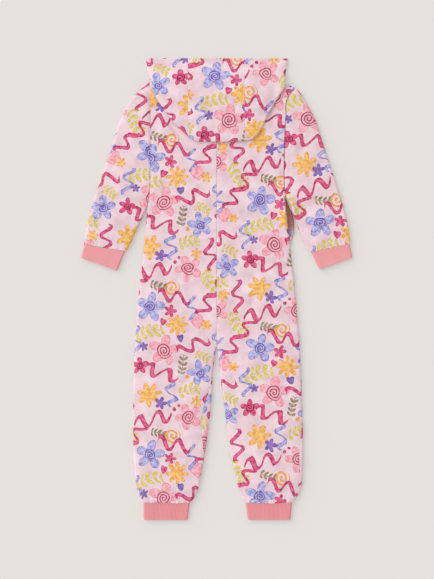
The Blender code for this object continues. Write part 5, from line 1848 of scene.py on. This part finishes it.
@dataclass
class Zip:
    """Closed coil zip down the front, seen from the garment's other face: tapes, coil, slider and pull."""

    wardrobe: Wardrobe
    tape_half_width: float = 14.0
    tape_bottom: float = 5.2
    tape_thickness: float = 1.0
    coil_z: float = 4.75
    tooth_pitch: float = 1.5
    tooth: tuple = (1.65, 0.5, 0.72)
    tooth_tilt: float = 10.0
    tooth_row: float = 0.75  # from the middle to each row of teeth
    bare: float = 2.0  # from the middle to a tape's edge
    stitch_line: tuple = (12.5, 1.85)  # the topstitching's distance from the middle and its height
    edge: tuple = (0.16, 35.0)  # width of a cast edge's rounding, and degrees from which it is one

    def tape(self, side: Side) -> Object:
        """One tape: a flat strip from beside the coil to under the front panel.

        Args:
            side: Side of the zip.

        Returns:
            The piece.
        """
        away = graded(self.tape_half_width - self.bare, 2.0)
        y = np.linspace(CUT.zip_top_y, CUT.zip_end_y, 140)
        x = side.sign * (self.bare + away)
        grid = np.stack(np.broadcast_arrays(x[None, :], y[:, None], self.tape_bottom), axis=-1).copy()
        edge = np.broadcast_to(np.minimum(away, away[-1] - away)[None, :], grid.shape[:2])
        sheet = ClothSheet(grid, np.broadcast_to(-UP, grid.shape), edge)
        return sheet.wall(f"zip_tape_{side.value}", self.tape_thickness, self.wardrobe.tape,
                          self.wardrobe.tape)

    def coil(self) -> Object:
        """Teeth of the coil: two rows of beads that lock into each other, half a pitch apart.

        Returns:
            The piece.
        """
        y = np.arange(CUT.zip_end_y + 3.0, CUT.zip_top_y - 1.0, self.tooth_pitch / 2)
        side = np.where(np.arange(len(y)) % 2 == 0, 1.0, -1.0)
        centres = np.stack([side * self.tooth_row, y, np.full(len(y), self.coil_z)], axis=-1)
        tilt = math.radians(self.tooth_tilt)
        along_tooth = np.stack([np.full(len(y), math.cos(tilt)), side * math.sin(tilt), 0 * y], axis=-1)
        up = np.broadcast_to(UP, along_tooth.shape)
        frames = np.stack([along_tooth, np.cross(up, along_tooth), up], axis=1)
        return beads_along("zip_coil", centres, frames, self.tooth, self.wardrobe.nylon)

    def hardware(self, node: str, name: str) -> Object:
        """A cast piece: the solid's own form, merged and with its edges rounded over.

        Args:
            node: The solid it stands for.
            name: Name of the piece.

        Returns:
            The piece.
        """
        mesh = bpy.data.objects[node].data.copy()
        mesh.name = name
        loose = bmesh.new()
        loose.from_mesh(mesh)
        bmesh.ops.remove_doubles(loose, verts=loose.verts, dist=1e-6)
        bmesh.ops.dissolve_limit(loose, angle_limit=0.02, verts=loose.verts, edges=loose.edges)
        bmesh.ops.recalc_face_normals(loose, faces=loose.faces)
        loose.to_mesh(mesh)
        loose.free()
        mesh.materials.clear()
        mesh.materials.append(self.wardrobe.nickel)
        piece = linked(name, mesh)
        rounded = piece.modifiers.new("rounded_edges", "BEVEL")
        rounded.width, rounded.segments = self.edge[0] * MM, 2
        rounded.limit_method, rounded.angle_limit = "ANGLE", math.radians(self.edge[1])
        rounded.harden_normals = True
        return piece


@dataclass
class Studio:
    """A pale table faintly lit from below, a large soft lamp at the upper left, and the camera above."""

    floor: str = "#E6E3E0"
    frame_height: float = 1331.7  # millimetres of the floor that the frame shows from top to bottom
    lens: float = 85.0
    centre: tuple = (0.8, -0.7)
    seen_at: float = 0.004  # metres above the table at which the frame height holds
    table: tuple = (40.0, 0.0003)  # metres that it reaches each way and lies below the garment
    key_from: tuple = (-0.86, 0.52, 0.70)
    key_strength: float = 1.75
    key_softness: float = 60.0
    room_strength: float = 0.684
    glow: float = 0.36  # share of the surface's brightness that comes from the lamp below it

    def build(self) -> None:
        """Make the surface, the lights and the camera."""
        made, tree, shader = new_material("matt_acrylic")
        place = put(tree, COORDINATES, out="Object")
        grain = put(tree, NOISE, {"Vector": place, "Scale": 900.0, "Detail": 2.0})
        bump = put(tree, BUMP, {"Strength": 0.05, "Distance": 0.05 * MM, "Height": grain})
        pale = linear(self.floor)
        fill(tree, shader, {"Base Color": (*((1.0 - self.glow) * v for v in pale[:3]), 1.0), "Normal": bump,
                            "Emission Color": pale, "Emission Strength": self.glow, "Roughness": 1,
                            "Specular IOR Level": 0})
        mesh = bpy.data.meshes.new("card")
        reach, below = self.table
        corners = [(x * reach, y * reach, -below) for x, y in ((-1, -1), (1, -1), (1, 1), (-1, 1))]
        mesh.from_pydata(corners, [], [(0, 1, 2, 3)])
        mesh.materials.append(made)
        linked("card", mesh)
        key = bpy.data.lights.new("key", "SUN")
        key.energy, key.angle = self.key_strength, math.radians(self.key_softness)
        linked("key", key).rotation_euler = (-Vector(self.key_from)).to_track_quat("-Z", "Y").to_euler()
        scene = bpy.context.scene
        scene.world = bpy.data.worlds.new("room")
        scene.world.use_nodes = True
        room = scene.world.node_tree
        fill(room, room.nodes["Background"], {"Color": linear("#FFFBF8"), "Strength": self.room_strength})
        scene.view_settings.view_transform = "Standard"
        camera = bpy.data.cameras.new("camera")
        camera.lens, camera.clip_start, camera.clip_end = self.lens, 0.05, 50.0
        scene.camera = linked("camera", camera)
        distance = self.frame_height / 2 / (camera.sensor_width / 2 / self.lens) * MM
        scene.camera.location = (self.centre[0] * MM, self.centre[1] * MM, distance + self.seen_at)


@dataclass
class Onesie:
    """The garment: builds each piece, hangs it on its body and gives it its materials."""

    wardrobe: Wardrobe = field(default_factory=Wardrobe)
    lie: Lie = field(default_factory=Lie)

    def take(self, piece: Object, nodes: tuple, body: str = "garment") -> Object:
        """Let a piece stand for its nodes and move with their body.

        Args:
            piece: The piece.
            nodes: Names of the solids that it stands for.
            body: The body that it moves with.

        Returns:
            The piece.
        """
        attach(piece, body)
        if nodes:
            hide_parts(*nodes)
        LOG.info("%s: %d triangles", piece.name, sum(len(face.vertices) - 2 for face in piece.data.polygons))
        return piece

    def cloth(self, sheet: ClothSheet, name: str, node: str, flat: tuple, area: float,
              rests_on: tuple) -> Object:
        """Build one fleece piece and let it stand for its solid.

        Args:
            sheet: Its grid.
            name: Name of the piece.
            node: Solid that it stands for.
            flat: Width and length of its cut in metres; not used.
            area: Area of its cut in square metres; not used.
            rests_on: What it lies on; not used.

        Returns:
            The piece.
        """
        piece = sheet.wall(name, FLEECE, self.wardrobe.fleece, self.wardrobe.reverse)
        self.take(piece, (node,))
        return piece

    def body(self) -> None:
        """The four panels and the two sleeves."""
        origins = {(Side.LEFT, Face.BACK): (0.0, 0.0), (Side.RIGHT, Face.BACK): (128.0, 96.0),
                   (Side.LEFT, Face.FRONT): (58.0, 214.0), (Side.RIGHT, Face.FRONT): (22.0, 150.0)}
        for side in Side:
            for face in (Face.FRONT, Face.BACK):
                panel = BodyPanel(side, face, self.lie, origins[side, face])
                under = ("floor",) if face is Face.FRONT else (f"front_panel_{side.value}",)
                self.cloth(panel.sheet(), f"{face.value}_panel_{side.value}", f"{face.value}_{side.value}",
                           (0.205, 0.99), 0.159, under)
            turn = CUT.pick(side, 14.0, -14.0)
            sleeve = Sleeve(side, self.lie, CUT.pick(side, (70.0, 30.0), (150.0, 210.0)), turn,
                            CUT.pick(side, 0.5, 2.8))
            self.cloth(sleeve.sheet(), f"set_in_sleeve_{side.value}", f"sleeve_{side.value}",
                       (0.245, 0.41), 0.0695, ("floor",))

    def cuffs(self) -> None:
        """The four rib cuffs."""
        forms = (
            Cuff("sleeve_left", (-304.4, 101.8), (-210.5, 87.4), (-312.3, 72.5), (-228.7, 42.6)),
            Cuff("sleeve_right", (305.9, 103.8), (217.6, 84.6), (312.3, 73.8), (236.1, 45.5)),
            Cuff("leg_left", (-168.0, -490.3), (-61.5, -490.3), (-167.8, -530.0), (-67.0, -530.0)),
            Cuff("leg_right", (173.4, -490.3), (67.0, -490.3), (169.6, -530.0), (71.8, -530.0)),
        )
        leg_rib, wrist_rib = RibKnit(), RibKnit("rib_knit_cotton_wrist", "#F0A6AB", "#E89A9F")
        ribs = {rib: rib.material() for rib in (leg_rib, wrist_rib)}
        for form in forms:
            rib = ribs[leg_rib if form.name.startswith("leg") else wrist_rib]
            piece = form.sheet().wall(f"rib_cuff_{form.name}", RIB, rib, rib)
            self.take(piece, (f"cuff_{form.name}",))

    def hood(self) -> None:
        """Wings, side panels and centre strip of the hood, and the stitching of its hem."""
        hood = Hood(self.lie)
        panels = {side: hood.side_panel(side) for side in Side}
        for side in Side:
            self.cloth(hood.wing(side), f"hood_front_{side.value}", f"hood_wing_{side.value}",
                       (0.16, 0.095), 0.0066, ("floor",))
            self.cloth(panels[side], f"hood_panel_{side.value}", f"hood_side_{side.value}",
                       (0.14, 0.30), CUT.pick(side, 0.0180, 0.0204), (f"back_panel_{side.value}",))
        centre = hood.centre()
        self.cloth(centre, "hood_strip", "hood_centre", (0.131, 0.32), 0.0410,
                   ("back_panel_left", "back_panel_right"))
        row = hood.hem_rows.index(hood.hem_line)
        for name, sheet in (("strip", centre), ("left", panels[Side.LEFT]), ("right", panels[Side.RIGHT])):
            line = sheet.outer[row]
            keep = sheet.edge[row] > 0.6
            up = surface_normals(sheet.outer, sheet.hint, False)[row]
            piece = stitches(f"hem_stitches_{name}", line[keep], up[keep], self.wardrobe.thread)
            self.take(piece, ())

    def zip(self) -> None:
        """The zip, its topstitching and its slider and pull."""
        zipper = Zip(self.wardrobe)
        for side in Side:
            tape = self.take(zipper.tape(side), ("zip_tape",))
        self.take(zipper.coil(), ("zip_tape",))
        self.take(zipper.hardware("zip_slider", "slider_body"), ("zip_slider",))
        self.take(zipper.hardware("zip_pull", "pull_tab"), ("zip_pull",), "pull")
        y = np.linspace(CUT.front_neck_y - 8.0, CUT.zip_end_y + 3.0, 120)
        x, z = (np.full(len(y), value) for value in zipper.stitch_line)
        for side in Side:
            line = np.stack([side.sign * x, y, z], axis=-1)
            down = np.broadcast_to(-UP, line.shape)
            self.take(stitches(f"zip_stitches_{side.value}", line, down, self.wardrobe.thread), ())

    def build(self) -> None:
        """Build the pieces in the order of sewing."""
        self.body()
        self.cuffs()
        self.hood()
        self.zip()


def main() -> None:
    """Load the solids, build the studio and the garment, and log each garment piece's triangle count."""
    logging.basicConfig(level=logging.INFO, format="%(name)s %(message)s")
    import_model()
    Studio().build()
    Onesie().build()
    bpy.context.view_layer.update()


if __name__ == "__main__":
    main()
